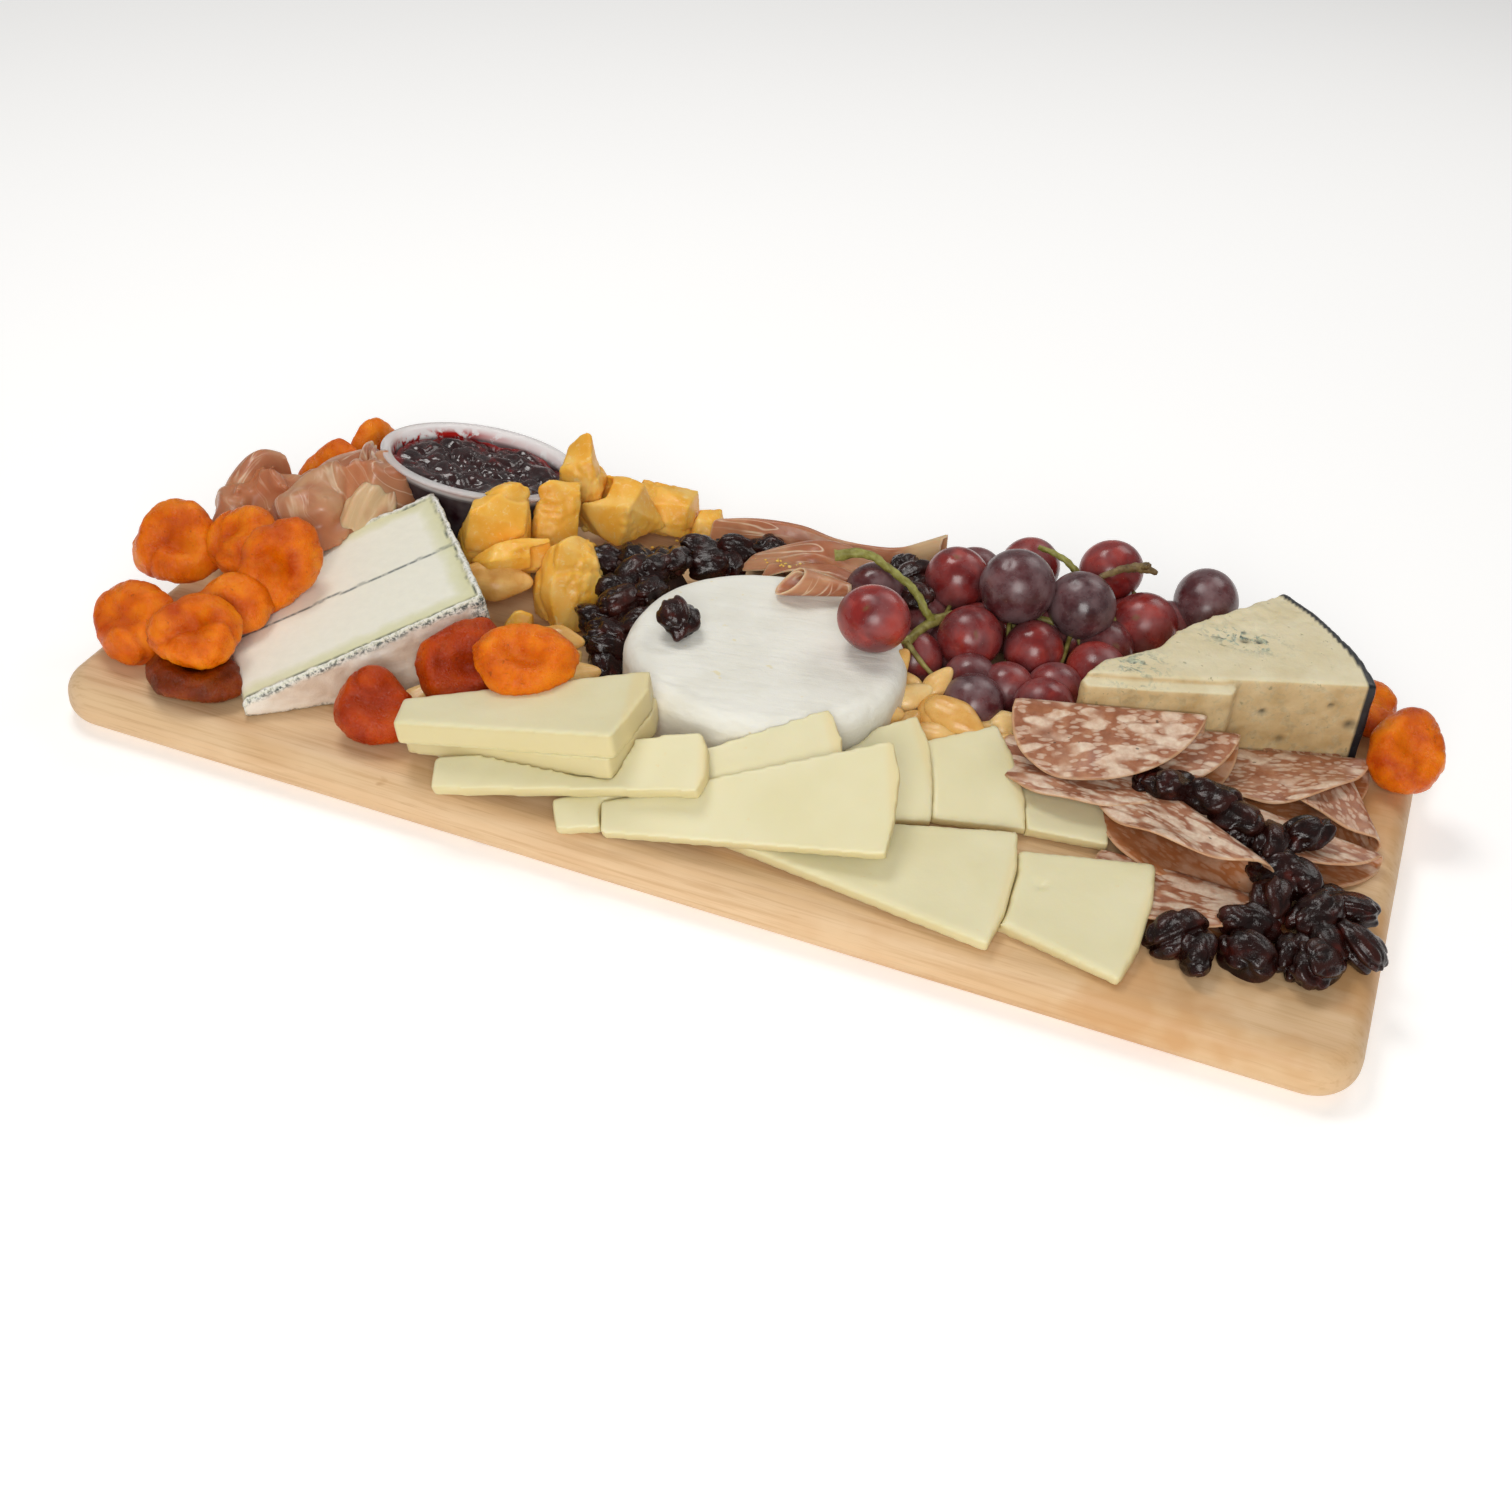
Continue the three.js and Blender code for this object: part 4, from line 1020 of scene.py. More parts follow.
def dried_cherry(middle, seed, size):
    """One shrivelled cherry: folds that run more or less along it."""
    around, rings = 56, 38
    v, faces = ball(around, rings)
    v = v[:, [2, 0, 1]]
    shift = np.array([seed * 3.1, seed * 1.7, seed * 0.9])
    q = v * [5, 10, 10] + shift * 10
    q = q + 3.0 * fbm(v * 10 + shift, 8, 2, seed)[:, None]
    big = smooth(ridges(q, 12, 1, 0.4), 0, 0.45)
    small = smooth(ridges(q, 4.2, 1, 1.2), 0, 0.5)
    shape = 1.04 + 0.1 * fbm(v * 10, 14, 1, seed) - 0.24 * (1 - big) - 0.10 * (1 - small)
    v = v * shape[:, None] * size
    v = v @ turned((25 * math.sin(3 * seed), 18 * math.cos(2 * seed), 137 * seed)).T
    # The last value marks the crests between the creases, which the paint lightens as painted light.
    return v + middle, faces, (seed * 0.37) % 1, np.clip(small * big * 1.6 - 0.8, 0, 1)


CHERRY_SIZE = np.array([11.4, 8.4, 6.6])


def cherries():
    """Heaps of single cherries. Two heaps have a dark core of painted shade between the cherries, and the
    right one has a few more cherries low between the others."""
    paint = cherry_skin()
    core_paint = dark_core()
    heaps = (
        ("centre", CENTRE_CHERRIES, "cherry_heap_centre", 1.0),
        ("right", RIGHT_CHERRIES, "cherry_heap_right", 1.04),
        ("back", BACK_CHERRIES, "cherry_heap_back", 0.9),
        ("lone", LONE_CHERRY, "cherry_single", 1.0),
    )
    for index, (name, middles, node, scale) in enumerate(heaps):
        if name == "right":
            middles = middles + [(x - 8, y + 5, max(z - 4, 25)) for x, y, z in middles[::3]]
        parts = [dried_cherry(m, i + 20 * index, CHERRY_SIZE * scale) for i, m in enumerate(middles)]
        heap = merged(f"dried_cherries_{name}", parts, "painted_crest_light")
        keep(heap, paint, "dried_cherry", node)
        if name in ("centre", "back"):
            # A dark shell inside the heap: painted shade between the cherries.
            core = from_cad(node, f"cherry_shade_core_{name}", 2.4, 3)
            push(core, np.full(len(core.data.vertices), -3.4))
            keep(core, core_paint, "dried_cherry")


# ---- almonds --------------------------------------------------------------------------------------

# Each almond: its middle, its length, the way its flat side faces and its spin in degrees.
LEFT_ALMONDS = [
    ((-77, -26, 39), 22, (0, -0.4, 0.9), 10),
    ((-62, -41, 36), 20, (0.2, -0.3, 0.9), 40),
    ((-116, -70, 26), 20, (0, -0.4, 0.9), 60),
    ((-90, -62, 34), 22, (0, -0.3, 0.9), -20),
    ((-70, -36, 35), 21, (0.1, -0.2, 0.9), 75),
    ((-84, -42, 37), 22, (0, -0.3, 0.9), 130),
    ((-98, -70, 27), 20, (0.1, -0.2, 0.9), 15),
    ((-68, -50, 34), 20, (0.2, -0.3, 0.9), 100),
    ((-106, -58, 28), 20, (-0.1, -0.2, 0.9), -50),
    ((-94, -50, 34), 21, (-0.2, -0.3, 0.9), 25),
    ((-80, -56, 36), 21, (0, -0.3, 0.9), 65),
    ((-112, -62, 25), 19, (-0.2, -0.3, 0.9), 5),
    ((-58, -50, 29), 19, (0.3, -0.2, 0.9), 60),
]
CENTRE_ALMONDS = [
    ((49, 7, 40), 27, (-0.3, -0.6, 0.7), 60),
    ((68, 14, 38), 18, (0, -0.5, 0.9), 70),
    ((60, 5, 35), 20, (0, -0.5, 0.9), 40),
    ((50, -11, 35), 24, (0, -0.4, 0.9), 10),
    ((39, -13, 34), 19, (0, -0.4, 0.9), 30),
    ((80, -1, 35), 27, (0, -0.5, 0.9), -15),
    ((77, -8, 30), 22, (0, -0.3, 0.9), 0),
    ((97, 9, 31), 21, (0, -0.4, 0.9), 25),
    ((62, -10, 31), 21, (0, -0.2, 0.9), 70),
    ((88, 4, 30), 20, (0, -0.2, 0.9), 20),
    ((70, 2, 33), 21, (0, -0.3, 0.9), 110),
    ((56, 14, 33), 21, (-0.2, -0.3, 0.9), -30),
    ((92, -6, 27), 20, (0.1, -0.3, 0.9), 60),
    ((46, 0, 32), 20, (-0.3, -0.2, 0.9), 95),
    ((104, 2, 26), 20, (0.2, -0.3, 0.9), -10),
]
LARGE_ALMOND = [((-118, 1, 40), 31, (0.2, -0.6, 0.8), 20)]


def almond(middle, length, normal, spin, seed):
    """A peeled almond, pointed at one end and flat, with a shallow groove."""
    v, faces = ball(34, 24)
    v = v[:, [2, 0, 1]]
    t = v[:, 0]
    girth = (1 - 0.30 * smooth(t, -0.1, 1.0)) * (1 + 0.04 * np.sin(5 * t + seed))
    groove = 0.14 * np.exp(-((v[:, 1] / 0.14) ** 2)) * (v[:, 2] > 0) * (1 - t * t)
    across, up = v[:, 1] * length * 0.285 * girth, v[:, 2] * length * 0.19 * girth * (1 - groove)
    q = np.stack([t * length * 0.5, across, up], 1)
    q += 0.22 * fbm(q, 5, 3, seed)[:, None] * v
    return q @ facing(normal, spin).T + middle, faces, (seed * 0.61) % 1


def almonds():
    """The two heaps and the large one, nut by nut."""
    paint = almond_skin()
    for name, nuts, node in (
        ("left", LEFT_ALMONDS, "almond_heap_left"),
        ("centre", CENTRE_ALMONDS, "almond_heap_centre"),
        ("large", LARGE_ALMOND, "almond_large"),
    ):
        parts = [almond(*nut, i + 1.3) for i, nut in enumerate(nuts)]
        keep(merged(f"almonds_{name}", parts), paint, "almond", node)


# ---- grapes ---------------------------------------------------------------------------------------

# Each grape: its middle, its radius, half its length and how dark it is.
GRAPES = [
    (41, 7, 64.5, 12.6, 13.8, 0.1), (28, 56, 46, 11.5, 12.5, 0.9), (52, 36, 31.5, 11.6, 11.6, 0.4),
    (56, 79, 47, 13, 13, 0.25), (59, 101, 37, 12.2, 12.2, 0.6), (83, 70, 56, 14.8, 14.9, 0.95),
    (71, 49, 40, 12.6, 13, 0.2), (96, 58, 36, 11.8, 12, 0.25), (109, 78, 50, 13.2, 14, 1.0),
    (134, 92, 40, 12.8, 13.4, 0.2), (114, 111, 50, 12.4, 13.2, 0.15), (81, 104, 46, 12.2, 13, 0.3),
    (123, 57, 33, 12.2, 14.5, 0.2), (92, 33, 31, 10.8, 11, 0.5), (83, 14, 33, 11.6, 12, 0.95),
    (109, 24, 33, 11.6, 12, 0.35), (155, 113, 45, 13, 16, 0.9), (82, 80, 31, 12, 12, 0.5),
    (106, 84, 31, 12, 12, 0.6),
]
# Grapes low in the bunch, behind the others.
LOW_GRAPES = [
    (70, 66, 33, 11.5, 11.5, 0.5), (97, 80, 34, 11.5, 12, 0.7), (122, 76, 34, 11.5, 12, 0.6),
    (64, 52, 31, 11, 11, 0.8), (100, 97, 33, 11.5, 12, 0.5), (126, 98, 34, 11.5, 12, 0.6),
    (72, 92, 33, 11.5, 12, 0.5), (77, 33, 31, 10.5, 11, 0.7), (110, 41, 31, 11, 11.5, 0.4),
    (143, 104, 34, 11, 11, 0.6), (48, 62, 32, 11.5, 11.5, 0.6),
]
# The paths of the main stem through the bunch, its stalk, a green twig, and a dry twig with two prongs.
RACHIS = [(50, 28, 44), (58, 56, 42), (82, 70, 42), (108, 76, 42), (146, 104, 43)]
STALK = [(10, 52, 60), (22, 56, 62), (34, 54, 58.5), (45, 51, 54), (52, 48, 47), (55, 50, 42)]
TWIG = [(85, 93, 63), (95, 92, 61.5), (103, 90, 57), (106, 86, 50)]
DRY_TWIG = [(113, 86, 60), (120, 93, 62), (127, 98, 62), (134, 100, 60.5)]
PRONGS = ([(127, 98, 62), (130, 96, 64.5), (131, 96, 66)], [(127, 98, 62), (127, 103, 61), (129, 107, 60)])
# How many grapes at the end of GRAPES have no stem of their own.
STEMLESS = 2


def tube(path, radii, tone, seed, around=14):
    """A knobbly stem along a path, closed at both ends."""
    curve = [Vector(p) for p in path]
    last = len(curve) - 1
    steps = 10
    line, width = [], []
    for i in range(last):
        a, b = curve[max(i - 1, 0)], curve[i]
        c, d = curve[i + 1], curve[min(i + 2, last)]
        for s in range(steps + (i == last - 1)):
            t = s / steps
            bend = (2 * a - 5 * b + 4 * c - d) * t * t + (3 * b - a - 3 * c + d) * t**3
            line.append(0.5 * ((2 * b) + (c - a) * t + bend))
            width.append(radii[i] + (radii[i + 1] - radii[i]) * t)
    rows = []
    for i, centre in enumerate(line):
        ahead = (line[min(i + 1, len(line) - 1)] - line[max(i - 1, 0)]).normalized()
        side = ahead.cross(Vector((0.2, 0.1, 1))).normalized()
        up = side.cross(ahead)
        row = []
        for k in reversed(range(around)):
            a = 2 * math.pi * k / around
            r = width[i] * (1 + 0.12 * math.sin(3 * a + 0.9 * i + seed) + 0.08 * math.sin(1.7 * i + seed))
            row.append(tuple(centre + (side * math.cos(a) + up * math.sin(a)) * r))
        rows.append(row)
    return *lofted(rows), tone


def nearest_on_stem(point):
    return min(RACHIS, key=lambda s: math.dist(s, point))


def grapes():
    """Long grapes with a dimple at the blossom end, every third one scarred there, and their stems."""
    parts, scars = [], []
    for i, (*middle, r, long, dark) in enumerate(GRAPES + LOW_GRAPES):
        v, faces = ball(46, 32) if i < len(GRAPES) else ball(32, 22)
        v = v[:, [2, 0, 1]]
        q = v * [long * 1.04, r * 1.04, r * 1.04] * (1 + 0.012 * fbm(v * 10, 9, 2, i))[:, None]
        q = q @ turned((0, 8 * math.sin(i), 40 * i)).T
        stem_way = np.array(nearest_on_stem(middle)) - np.array(middle)
        stem_way = stem_way / np.linalg.norm(stem_way)
        lean = np.array([0.5 * math.sin(2.1 * i), -0.6, 0.75])
        blossom = -stem_way * 0.4 + lean / np.linalg.norm(lean)
        blossom /= np.linalg.norm(blossom)
        near = q @ blossom / np.linalg.norm(q, axis=1)
        pit = smooth(near, 0.988, 0.999)
        q = q * (1 - 0.035 * pit)[:, None]
        scars.append((i % 3 == 0) * smooth(near, 0.9945, 0.998))
        parts.append((q + middle, faces, dark))
    obj = merged("grape_berries", parts)
    store(obj, scar=np.concatenate(scars) * 0.8)
    keep(obj, grape_skin(), "grape", "grape_bunch")
    stems = [
        tube(RACHIS, (1.8, 2.2, 2.2, 2.0, 1.6), 0.4, 1),
        tube(STALK, (2.4, 1.8, 1.6, 1.6, 1.7, 1.8), 0.05, 2),
        tube(TWIG, (1.0, 1.3, 1.5, 1.6), 0.1, 3),
        tube(DRY_TWIG, (1.2, 1.5, 2.1, 0.9), 1.0, 4),
        tube(PRONGS[0], (1.2, 0.9, 0.5), 1.0, 5, 8),
        tube(PRONGS[1], (1.2, 0.8, 0.5), 1.0, 6, 8),
    ]
    for i, (x, y, z, *_) in enumerate(GRAPES[:-STEMLESS]):
        end = nearest_on_stem((x, y, z))
        middle = ((x + end[0]) / 2, (y + end[1]) / 2, (z + end[2]) / 2 - 4)
        stems.append(tube([(x, y, z - 2), middle, end], (1.1, 0.9, 1.2), 0.5, i, 8))
    keep(merged("grape_stems", stems), stem(), "grape")


# ---- cured meats ----------------------------------------------------------------------------------

# Each slice of salami: the middle of its crease, the way that runs, its slope, and the gape at each end.
SALAMI = [
    ((137, 11, 46), 196, 31, 4, 3),
    ((151, 16, 38), 197, 25, 4, 3),
    ((138, -3, 28), 171, 4, 6, 3),
    ((177, -21, 29), 141, 4, 8.5, 3),
    ((201, 40, 26), 197, 4, 4, 3),
    ((227, 38, 24), 112, 3, 4, 3),
    ((210, 4, 22.5), 170, 0, 3, 2.5),
    ((186, -44, 21.5), 178, 0, 2.5, 2.5),
]
SALAMI_RADIUS = 37.0
SALAMI_REACH = SALAMI_RADIUS * 0.985
SALAMI_THICKNESS = 1.3


def sheet_mesh(name, surface, across, along, thickness):
    """A thin closed sheet about a surface, which gives a point for u and v from 0 to 1. It also returns u
    and v at each vertex, and 1 on the side its normal faces or 0 on the other."""
    u, v = np.meshgrid(np.linspace(0, 1, across), np.linspace(0, 1, along), indexing="ij")
    u, v = u.ravel(), v.ravel()
    middle = surface(u, v)
    step = 1e-3
    du = surface(np.clip(u + step, 0, 1), v) - surface(np.clip(u - step, 0, 1), v)
    dv = surface(u, np.clip(v + step, 0, 1)) - surface(u, np.clip(v - step, 0, 1))
    normal = np.cross(du, dv)
    normal /= np.maximum(np.linalg.norm(normal, axis=1), 1e-12)[:, None]
    edge = np.minimum(np.minimum(u, 1 - u) * across, np.minimum(v, 1 - v) * along)
    half = 0.5 * thickness * (0.35 + 0.65 * np.clip(edge / 2.0, 0, 1))[:, None]
    vertices = np.concatenate([middle + normal * half, middle - normal * half])
    count = len(middle)
    faces = []
    for i in range(across - 1):
        for j in range(along - 1):
            a = i * along + j
            faces.append((a, a + along, a + along + 1, a + 1))
            faces.append((count + a, count + a + 1, count + a + along + 1, count + a + along))
    ring = list(range(along)) + [i * along + along - 1 for i in range(1, across)]
    ring += [(across - 1) * along + j for j in range(along - 2, -1, -1)]
    ring += [i * along for i in range(across - 2, 0, -1)]
    for k, a in enumerate(ring):
        b = ring[(k + 1) % len(ring)]
        faces.append((a, b, count + b, count + a))
    obj = new_object(name, vertices, faces)
    return obj, np.tile(u, 2), np.tile(v, 2), np.repeat([1.0, 0.0], count)


def folded_slice(seed, front, back):
    """The surface of a round slice folded over on itself, gaping by front and back at its two ends."""

    def surface(u, v):
        t = SALAMI_REACH * (2 * v - 1)
        a = np.sqrt(SALAMI_RADIUS**2 - t * t) * (2 * u - 1)
        bend = front + (back - front) * v
        angle = np.clip(a / bend, -math.pi / 2, math.pi / 2)
        beyond = np.maximum(np.abs(a) - math.pi / 2 * bend, 0)
        close = smooth(beyond, 0, 0.95 * SALAMI_RADIUS)
        upper = np.maximum(a, 0) / SALAMI_RADIUS
        rest = 2.0 + (a > 0) * max(front, 5.0) * 1.5 * (1 - v) ** 1.3 * smooth(beyond, 0, 18)
        x = (bend * np.cos(angle) - beyond) * (1 - 0.07 * upper)
        z = bend * np.sin(angle) * (1 - close) + np.sign(a) * rest * close
        wave = 1.2 * np.sin(0.11 * t + 0.09 * a + seed * 2.1) * smooth(beyond, 4, 26)
        wave += 0.7 * np.sin(0.23 * t - 0.13 * a + seed) * smooth(beyond, 6, 30)
        return np.stack([x, t + 9 * upper, z + wave * np.where(a > 0, 1, 0.3)], 1)

    return surface


def salami():
    """Slices in place, with their flat places on the vertices, so that the fat follows the fold."""
    paint = salami_meat()
    for i, (at, heading, slope, front, back) in enumerate(SALAMI):
        turn = turned((0, -slope, heading - 90))
        surface = folded_slice(i, front, back)
        obj, u, v, upper = sheet_mesh(f"salami_slice_{i + 1}", surface, 46, 60, SALAMI_THICKNESS)
        set_points(obj, points(obj) @ turn.T + np.array(at))
        flat_y = SALAMI_REACH * (2 * v - 1)
        flat_x = np.sqrt(SALAMI_RADIUS**2 - flat_y * flat_y) * (2 * u - 1)
        n = normals(obj) @ turn
        outward = np.where(np.abs(flat_x) < 8, n[:, 0], np.sign(flat_x) * n[:, 2])
        store(obj, flat_x=flat_x, flat_y=flat_y, leaf=np.full(len(u), 23.0 * i))
        # The inside of the fold, which the paint darkens as painted shade.
        store(obj, inside=smooth(-outward, -0.2, 0.4))
        store(obj, border=smooth(np.hypot(flat_x, flat_y), SALAMI_RADIUS - 1.1, SALAMI_RADIUS - 0.4))
        p = points(obj)
        p[:, 2] = np.maximum(p[:, 2], BOARD_TOP + 0.2 + 0.1 * upper)
        set_points(obj, p)
        keep(obj, paint, "salami", f"salami_{i + 1}")


# The grids of ham below are control points of a leaf: each row runs over it from one long edge to the other.
# A strip laid on its fold behind the brie, its fatty end curling up at the right.
HAM_STRIP = [
    [(x, y - 9, 21), (x, y - 5, z - 7), (x, y - 2, z - 1)]
    + [(x + 1, y, z), (x + 1, y + 3, z - 3), (x + 1, y + 6, 21)]
    for x, y, z in (
        (-60, 99, 34), (-46, 99, 38), (-33, 99, 40), (-20, 101, 39.5), (-6, 102, 37), (9, 104, 36.5),
        (22, 105, 38.5), (33, 106, 44), (42, 107, 49),
    )
]
# A broad leaf thrown over the strip and the back of the brie.
HAM_BROAD = [
    [(-34, 63, 34), (-33, 68, 37), (-32, 76, 36), (-31, 84, 26)],
    [(-20, 60, 40), (-18, 66, 44), (-17, 76, 45), (-17, 86, 30)],
    [(-8, 59, 46), (-4, 66, 50), (-3, 77, 50), (-3, 89, 32)],
    [(5, 62, 44), (8, 69, 47), (9, 79, 49), (9, 90, 33)],
    [(17, 61, 45), (19, 70, 44), (20, 80, 45), (20, 91, 32)],
    [(28, 66, 38), (31, 72, 41), (32, 80, 40), (32, 90, 30)],
]
# A small leaf in front of it.
HAM_SMALL = [
    [(-22, 55, 38), (-21, 60, 42), (-20, 66, 41)],
    [(-8, 53, 47), (-8, 60, 46.5), (-8, 68, 42)],
    [(6, 52, 50), (6, 60, 49.5), (6, 69, 44)],
    [(20, 54, 45), (20, 62, 46), (21, 70, 42)],
]
# Leaves over the crumpled ham in front of the jam: its left side, the fatty frill on top and its front.
HAM_LOBE = [
    [(-212, -6, 34), (-206, -11, 43), (-196, -13, 46), (-187, -12, 38)],
    [(-218, 4, 40), (-210, 2, 52), (-198, 0, 56), (-186, 0, 48)],
    [(-221, 18, 43), (-212, 16, 56), (-200, 15, 59), (-190, 14, 50)],
    [(-220, 34, 44), (-212, 33, 56), (-201, 32, 58), (-193, 31, 48)],
    [(-215, 52, 42), (-208, 52, 52), (-200, 52, 54), (-194, 52, 44)],
]
HAM_FRILL = [
    [(-194, -6, 48), (-187, -6, 52), (-181, -4, 50), (-176, -2, 42)],
    [(-196, 6, 52), (-188, 6, 60), (-180, 7, 58), (-172, 8, 46)],
    [(-198, 18, 54), (-189, 19, 62), (-180, 19, 62), (-172, 18, 52)],
    [(-201, 31, 55), (-193, 31, 62), (-186, 28, 63), (-178, 24, 56)],
    [(-205, 44, 54), (-200, 43, 60), (-195, 40, 60), (-189, 35, 54)],
    [(-211, 56, 50), (-206, 56, 56), (-202, 52, 56), (-198, 47, 50)],
]
HAM_APRON = [
    [(-202, -14, 30), (-203, -8, 42), (-201, 2, 50)],
    [(-192, -18, 29), (-192, -12, 42), (-191, 0, 54)],
    [(-182, -14, 33), (-182, -7, 44), (-183, 4, 53)],
    [(-174, -4, 36), (-174, 2, 45), (-176, 12, 52)],
]
# Leaves over the crumpled ham at the far left.
HAM_CREST = [
    [(-255, 6, 26), (-250, 0, 36), (-241, -3, 38), (-234, -1, 30)],
    [(-255, 16, 34), (-249, 12, 48), (-241, 10, 50), (-234, 10, 38)],
    [(-252, 26, 40), (-246, 25, 54), (-240, 24, 54), (-234, 22, 40)],
    [(-246, 36, 38), (-241, 36, 49), (-236, 35, 49), (-231, 32, 38)],
]
HAM_CURL = [
    [(-238, 2, 30), (-231, 0, 38), (-222, 2, 40), (-215, 4, 32)],
    [(-236, 14, 36), (-229, 14, 44), (-221, 16, 47), (-213, 17, 36)],
    [(-232, 26, 37), (-226, 28, 46), (-219, 30, 50), (-211, 30, 38)],
    [(-228, 38, 34), (-222, 40, 42), (-217, 41, 44), (-211, 40, 35)],
]


def spline(count, t):
    """Smooth weights of so many control points at each t from 0 to 1."""
    s = np.clip(t, 0, 1) * (count - 1)
    i = np.minimum(s.astype(int), count - 2)
    f = s - i
    weights = np.zeros((len(t), count))
    basis = (
        -0.5 * f + f**2 - 0.5 * f**3,
        1 - 2.5 * f**2 + 1.5 * f**3,
        0.5 * f + 2 * f**2 - 1.5 * f**3,
        -0.5 * f**2 + 0.5 * f**3,
    )
    for k, amount in enumerate(basis):
        np.add.at(weights, (np.arange(len(t)), np.clip(i + k - 1, 0, count - 1)), amount)
    return weights


def draped(controls, ripple, seed):
    """A surface through rows of control points, with long ripples along it."""
    grid = np.array(controls, float)

    def surface(u, v):
        p = np.einsum("pi,pj,ijk->pk", spline(len(grid), u), spline(len(grid[0]), v), grid)
        flow = np.stack([u * 9, v * 30, np.full(len(u), 3.0 * seed)], 1)
        p[:, 2] += ripple * fbm(flow, 6, 2, seed)
        p[:, 1] += 0.6 * ripple * fbm(flow, 5, 2, seed + 3)
        return p

    return surface


def rolled(mouth, apex, wide, narrow, seed):
    """A strip rolled into a cone, open at its wide end."""
    mouth, apex = np.array(mouth, float), np.array(apex, float)
    axis = (apex - mouth) / np.linalg.norm(apex - mouth)
    side = np.cross(axis, [0, 0, 1])
    side /= np.linalg.norm(side)
    up = np.cross(side, axis)

    def surface(u, v):
        angle = (1.15 - 2.35 * u) * math.pi
        radius = (1 - 0.2 * u) * (wide + (narrow - wide) * v) * (1 + 0.05 * np.sin(3 * angle + seed))
        along = v + 0.2 * (1 - v) * np.sin(angle)
        centre = mouth + np.outer(along, apex - mouth)
        out = centre + np.outer(radius * np.cos(angle), side) + np.outer(radius * np.sin(angle), up)
        out[:, 2] = np.maximum(out[:, 2], BRIE_TOP + 0.6)
        return out

    return surface


# The numbers on the vertices of ham: the place in the flat leaf, which leaf it is, and how much the ham there
# is border, fatty, fatty end or deep in a crease, where it is painted darker as shade.
HAM_DATA = ("flat_x", "flat_y", "leaf", "border", "fatty", "tail", "deep")


def crumpled(node):
    """A creased heap of ham from its CAD solid, with its vertex numbers."""
    body = from_cad(node, "heap", 1.4, 4)
    p = points(body)
    along = (p + 5 * fbm(p, 22, 2, 4)[:, None]) @ turned((0, 0, -62))
    crease = smooth(ridges(along * [0.5, 1, 0.8], 13, 1, 2.4), 0, 0.5)
    push(body, 3.6 * crease - 1.6 + 1.2 * fbm(p, 12, 2, 6))
    p, faces = taken(body)
    p[:, 2] = np.maximum(p[:, 2], BOARD_TOP + 0.4)
    blank = np.zeros(len(p))
    # Deep in the creases, where the paint puts painted shade.
    deep = 0.7 * (1 - crease)
    return p, faces, 0.0, along[:, 0], along[:, 1] + p[:, 2], blank + 170, blank, blank + 0.35, blank, deep


def ham_piece(name, sheets, tail=None, heap=None):
    """One piece of ham from a few sheets, each a surface with its length, width and share of fat, laid
    over a crumpled heap if it has one. It turns to fat along its length where tail says."""
    parts = [crumpled(heap)] if heap else []
    for k, (surface, length, width, fatty) in enumerate(sheets):
        across = int(min(max(length * 1.3, 36), 120))
        along = int(min(max(width * 1.3, 20), 70))
        sheet, u, v, _ = sheet_mesh("leaf", surface, across, along, 1.0)
        rim = np.minimum(np.minimum(u, 1 - u) * length, np.minimum(v, 1 - v) * width)
        blank = np.zeros(len(u))
        border = 1 - smooth(rim, 0.3, 1.2)
        fat_end = smooth(u, *tail) if tail else blank
        leaf = blank + 31.0 * k + 7 * len(name)
        parts.append((*taken(sheet), 0.0, u * length, v * width, leaf, border, blank + fatty, fat_end, blank))
    return merged(name, parts, *HAM_DATA)


def hams():
    paint = ham()
    front = (
        (draped(HAM_LOBE, 2.2, 1), 60, 44, 0.12),
        (draped(HAM_FRILL, 5.0, 4), 66, 40, 0.95),
        (draped(HAM_APRON, 2.6, 6), 40, 34, 0.15),
    )
    left = ((draped(HAM_CREST, 2.2, 8), 44, 36, 0.15), (draped(HAM_CURL, 2.6, 9), 32, 34, 0.25))
    roll = ((rolled((-1, 29, 57), (22, 38, 54.5), 6.3, 2.4, 0), 40, 24, 0.2),)
    broad = ((draped(HAM_BROAD, 1.0, 3), 66, 40, 0.2), (draped(HAM_SMALL, 0.6, 5), 44, 18, 0.3))
    strip = ((draped(HAM_STRIP, 0.5, 7), 106, 44, 0.1),)
    pieces = (
        ham_piece("ham_front", front, heap="prosciutto_1"),
        ham_piece("ham_left", left, heap="prosciutto_2"),
        ham_piece("ham_roll", roll),
        ham_piece("ham_broad", broad),
        ham_piece("ham_strip", strip, (0.74, 0.86)),
    )
    for i, piece in enumerate(pieces):
        keep(piece, paint, "ham", f"prosciutto_{i + 1}")


# ---- jam cup --------------------------------------------------------------------------------------

# The cup: the middle of its rim, its lean about X and Y in degrees, and its sizes.
CUP_AT = (-155.5, 62.5, 57.0)
CUP_LEAN = (10.7, -4.1)
CUP_RADIUS, CUP_FLANGE, CUP_TAPER, CUP_HEIGHT, CUP_WALL = 43.4, 3.0, 9.0, 31.0, 1.4
# How high the jam stands, from the rim.
JAM_TOP = -5.2


def lean_cup(obj, local):
    """Sets points in the cup's own frame, where the rim is at 0, on an object in place."""
    lean_x, lean_y = (-math.radians(a) for a in CUP_LEAN)
    turn = Matrix.Rotation(lean_y, 3, "Y") @ Matrix.Rotation(lean_x, 3, "X")
    set_points(obj, local @ np.array(turn).T + CUP_AT)


def cup_wall(depth):
    """The outer radius of the wall at a depth under the rim."""
    return CUP_RADIUS - CUP_FLANGE - CUP_TAPER * depth / CUP_HEIGHT


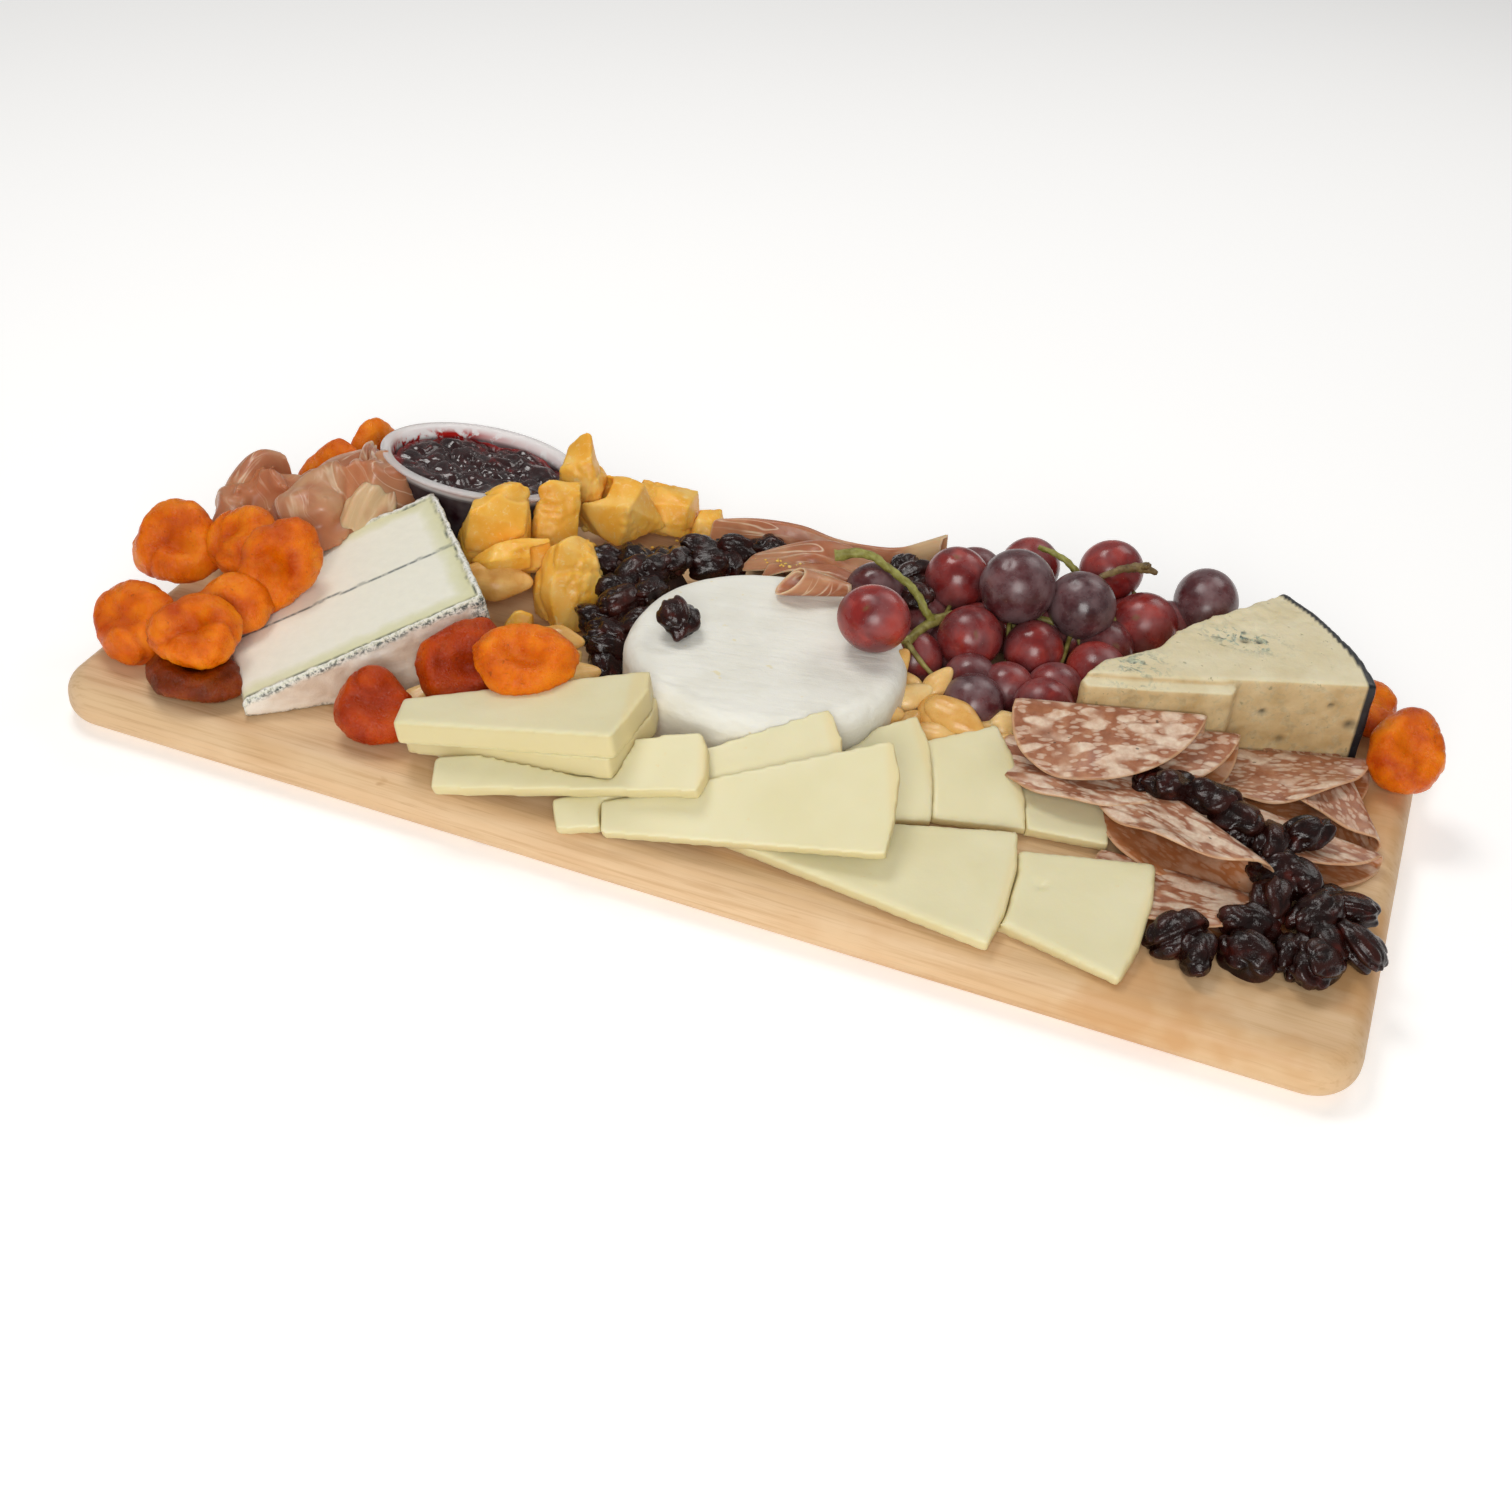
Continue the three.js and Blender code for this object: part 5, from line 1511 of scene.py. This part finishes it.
def jam_cup():
    """The clear cup, from its foot up the outside, over the flange and down the inside."""
    h, w = CUP_HEIGHT, CUP_WALL
    rim = CUP_RADIUS
    outer = [(0.3, -h), (cup_wall(h) - 4, -h), (cup_wall(h) - 1, -h + 0.5), (cup_wall(h), -h + 2)]
    outer += [(cup_wall(d), -d) for d in np.linspace(h - 4, 3, 24)]
    outer += [(cup_wall(2) + 0.3, -2.0), (rim - 0.5, -1.7), (rim, -1.3), (rim, -0.5), (rim - 0.5, 0)]
    inner = [(cup_wall(0) - w + 0.6, 0), (cup_wall(0) - w, -0.5)]
    inner += [(cup_wall(d) - w, -d) for d in np.linspace(2, h - 3.5, 24)]
    inner += [(cup_wall(h) - w - 2, -h + w), (0.3, -h + w)]
    obj = lathe("jam_cup_shell", outer + inner, 120)
    p = points(obj)
    radius = np.hypot(p[:, 0], p[:, 1])
    inside = (radius < cup_wall(-p[:, 2]) - 0.7 * w) & (p[:, 2] > -h + 4)
    angle = np.arctan2(p[:, 1], p[:, 0])
    band = np.clip(0.25 + 0.9 * np.cos(angle - 2.5) ** 4 + 0.9 * np.cos(angle - 0.1) ** 8, 0, 1)
    store(obj, smear=inside * smooth(p[:, 2], -11, -6) * (1 - smooth(p[:, 2], -3.0, -0.8)) * band)
    store(obj, filled=1 - smooth(p[:, 2] + 0.5 * fbm(p, 9, 2, 3), JAM_TOP - 0.5, JAM_TOP + 1.5))
    store(obj, lip=(radius > cup_wall(0) - 1) & (p[:, 2] < -0.6))
    lean_cup(obj, p)
    keep(obj, clear_plastic(), "clear_plastic", "jam_cup")


def jam():
    """The fill, which leans with the cup and is lumpy on top."""
    level, floor = JAM_TOP, -CUP_HEIGHT + CUP_WALL
    side = [(cup_wall(-z) - CUP_WALL + 0.25, z) for z in np.linspace(floor + 1.5, level, 12)]
    top = [(r, level) for r in np.linspace(side[-1][0] - 0.5, 0.4, 54)]
    obj = lathe("jam_fill", [(0.3, floor + 0.1), (side[0][0] - 2, floor + 0.1)] + side + top, 150)
    p = points(obj)
    radius = np.hypot(p[:, 0], p[:, 1])
    surface = (p[:, 2] > level - 0.1) & (radius < side[-1][0] - 0.2)
    lumps = 2.2 * fbm(p, 14, 2, 2) + 2.0 * (smooth(ridges(p, 9, 1, 3), 0, 0.5) - 0.6)
    lumps += 1.0 * (smooth(ridges(p, 4.5, 1, 7), 0, 0.5) - 0.6)
    p[:, 2] += surface * (lumps * (1 - 0.6 * smooth(radius, 33, 38)) - 0.4)
    store(obj, thin=smooth(radius + 3 * fbm(p, 9, 2, 8), 33, 38) * surface)
    lean_cup(obj, p)
    keep(obj, jam_paint(), "jam", "jam")


# ---- stage ----------------------------------------------------------------------------------------

FLOOR_HALF = 3000
FLOOR_Z = -0.2


def stage():
    """A white floor that glows a little, a pale sky and three square lamps aimed at the board."""
    corners = [(FLOOR_HALF * i, FLOOR_HALF * j, FLOOR_Z) for i, j in ((-1, -1), (1, -1), (1, 1), (-1, 1))]
    floor = new_object("floor", corners, [(0, 1, 2, 3)])
    paint = Paint("floor_paint", Roughness=0.9, Specular_IOR_Level=0.0, Emission_Strength=0.24)
    paint.shader.inputs["Emission Color"].default_value = (1, 1, 1, 1)
    white = paint.ramp(paint.noise(400, 1), (0.0, (0.93, 0.93, 0.93)), (1.0, (0.95, 0.95, 0.95)))
    floor.data.materials.append(paint.done(white))
    world = bpy.data.worlds.new("studio")
    scene.world = world
    world.use_nodes = True
    background = world.node_tree.nodes["Background"]
    background.inputs["Color"].default_value = (1.0, 0.99, 0.97, 1)
    background.inputs["Strength"].default_value = 0.25
    for name, place, size, power in (
        ("key", (-0.5, 0.25, 1.25), 0.5, 5.8),
        ("fill", (0.35, -1.2, 0.75), 0.7, 12.0),
        ("back", (0.45, 1.0, 1.0), 0.6, 3.0),
    ):
        light = bpy.data.lights.new(name, "AREA")
        light.size = size
        light.energy = power
        light.color = (1.0, 0.985, 0.96)
        lamp = bpy.data.objects.new(name, light)
        lamp.location = place
        lamp.rotation_mode = "QUATERNION"
        lamp.rotation_quaternion = (-Vector(place)).to_track_quat("-Z", "Y")
        scene.collection.objects.link(lamp)
    scene.view_settings.view_transform = "Standard"


def camera():
    """Looks down at the board from its front, a little to the right, with a slight roll."""
    azimuth, elevation, roll = (math.radians(a) for a in (17.825, 36.536, 4.977))
    target, distance = Vector((0.004754, -0.013093, 0)), 0.79529
    level = math.cos(elevation)
    back = Vector((math.sin(azimuth) * level, -math.cos(azimuth) * level, math.sin(elevation)))
    data = bpy.data.cameras.new("camera")
    data.sensor_width = 36
    data.lens = 47.2
    obj = bpy.data.objects.new("camera", data)
    obj.location = target + back * distance
    forward = -back
    right = forward.cross(Vector((0, 0, 1))).normalized()
    up = right.cross(forward)
    side = right * math.cos(roll) + up * math.sin(roll)
    top = up * math.cos(roll) - right * math.sin(roll)
    obj.rotation_mode = "QUATERNION"
    obj.rotation_quaternion = Matrix((side, top, back)).transposed().to_quaternion()
    scene.collection.objects.link(obj)
    scene.camera = obj


board()
brie()
slices()
ash_wedge()
blue_wedge()
cheddar_chunks()
apricots()
cherries()
almonds()
grapes()
salami()
hams()
jam_cup()
jam()
stage()
camera()

bpy.context.view_layer.update()
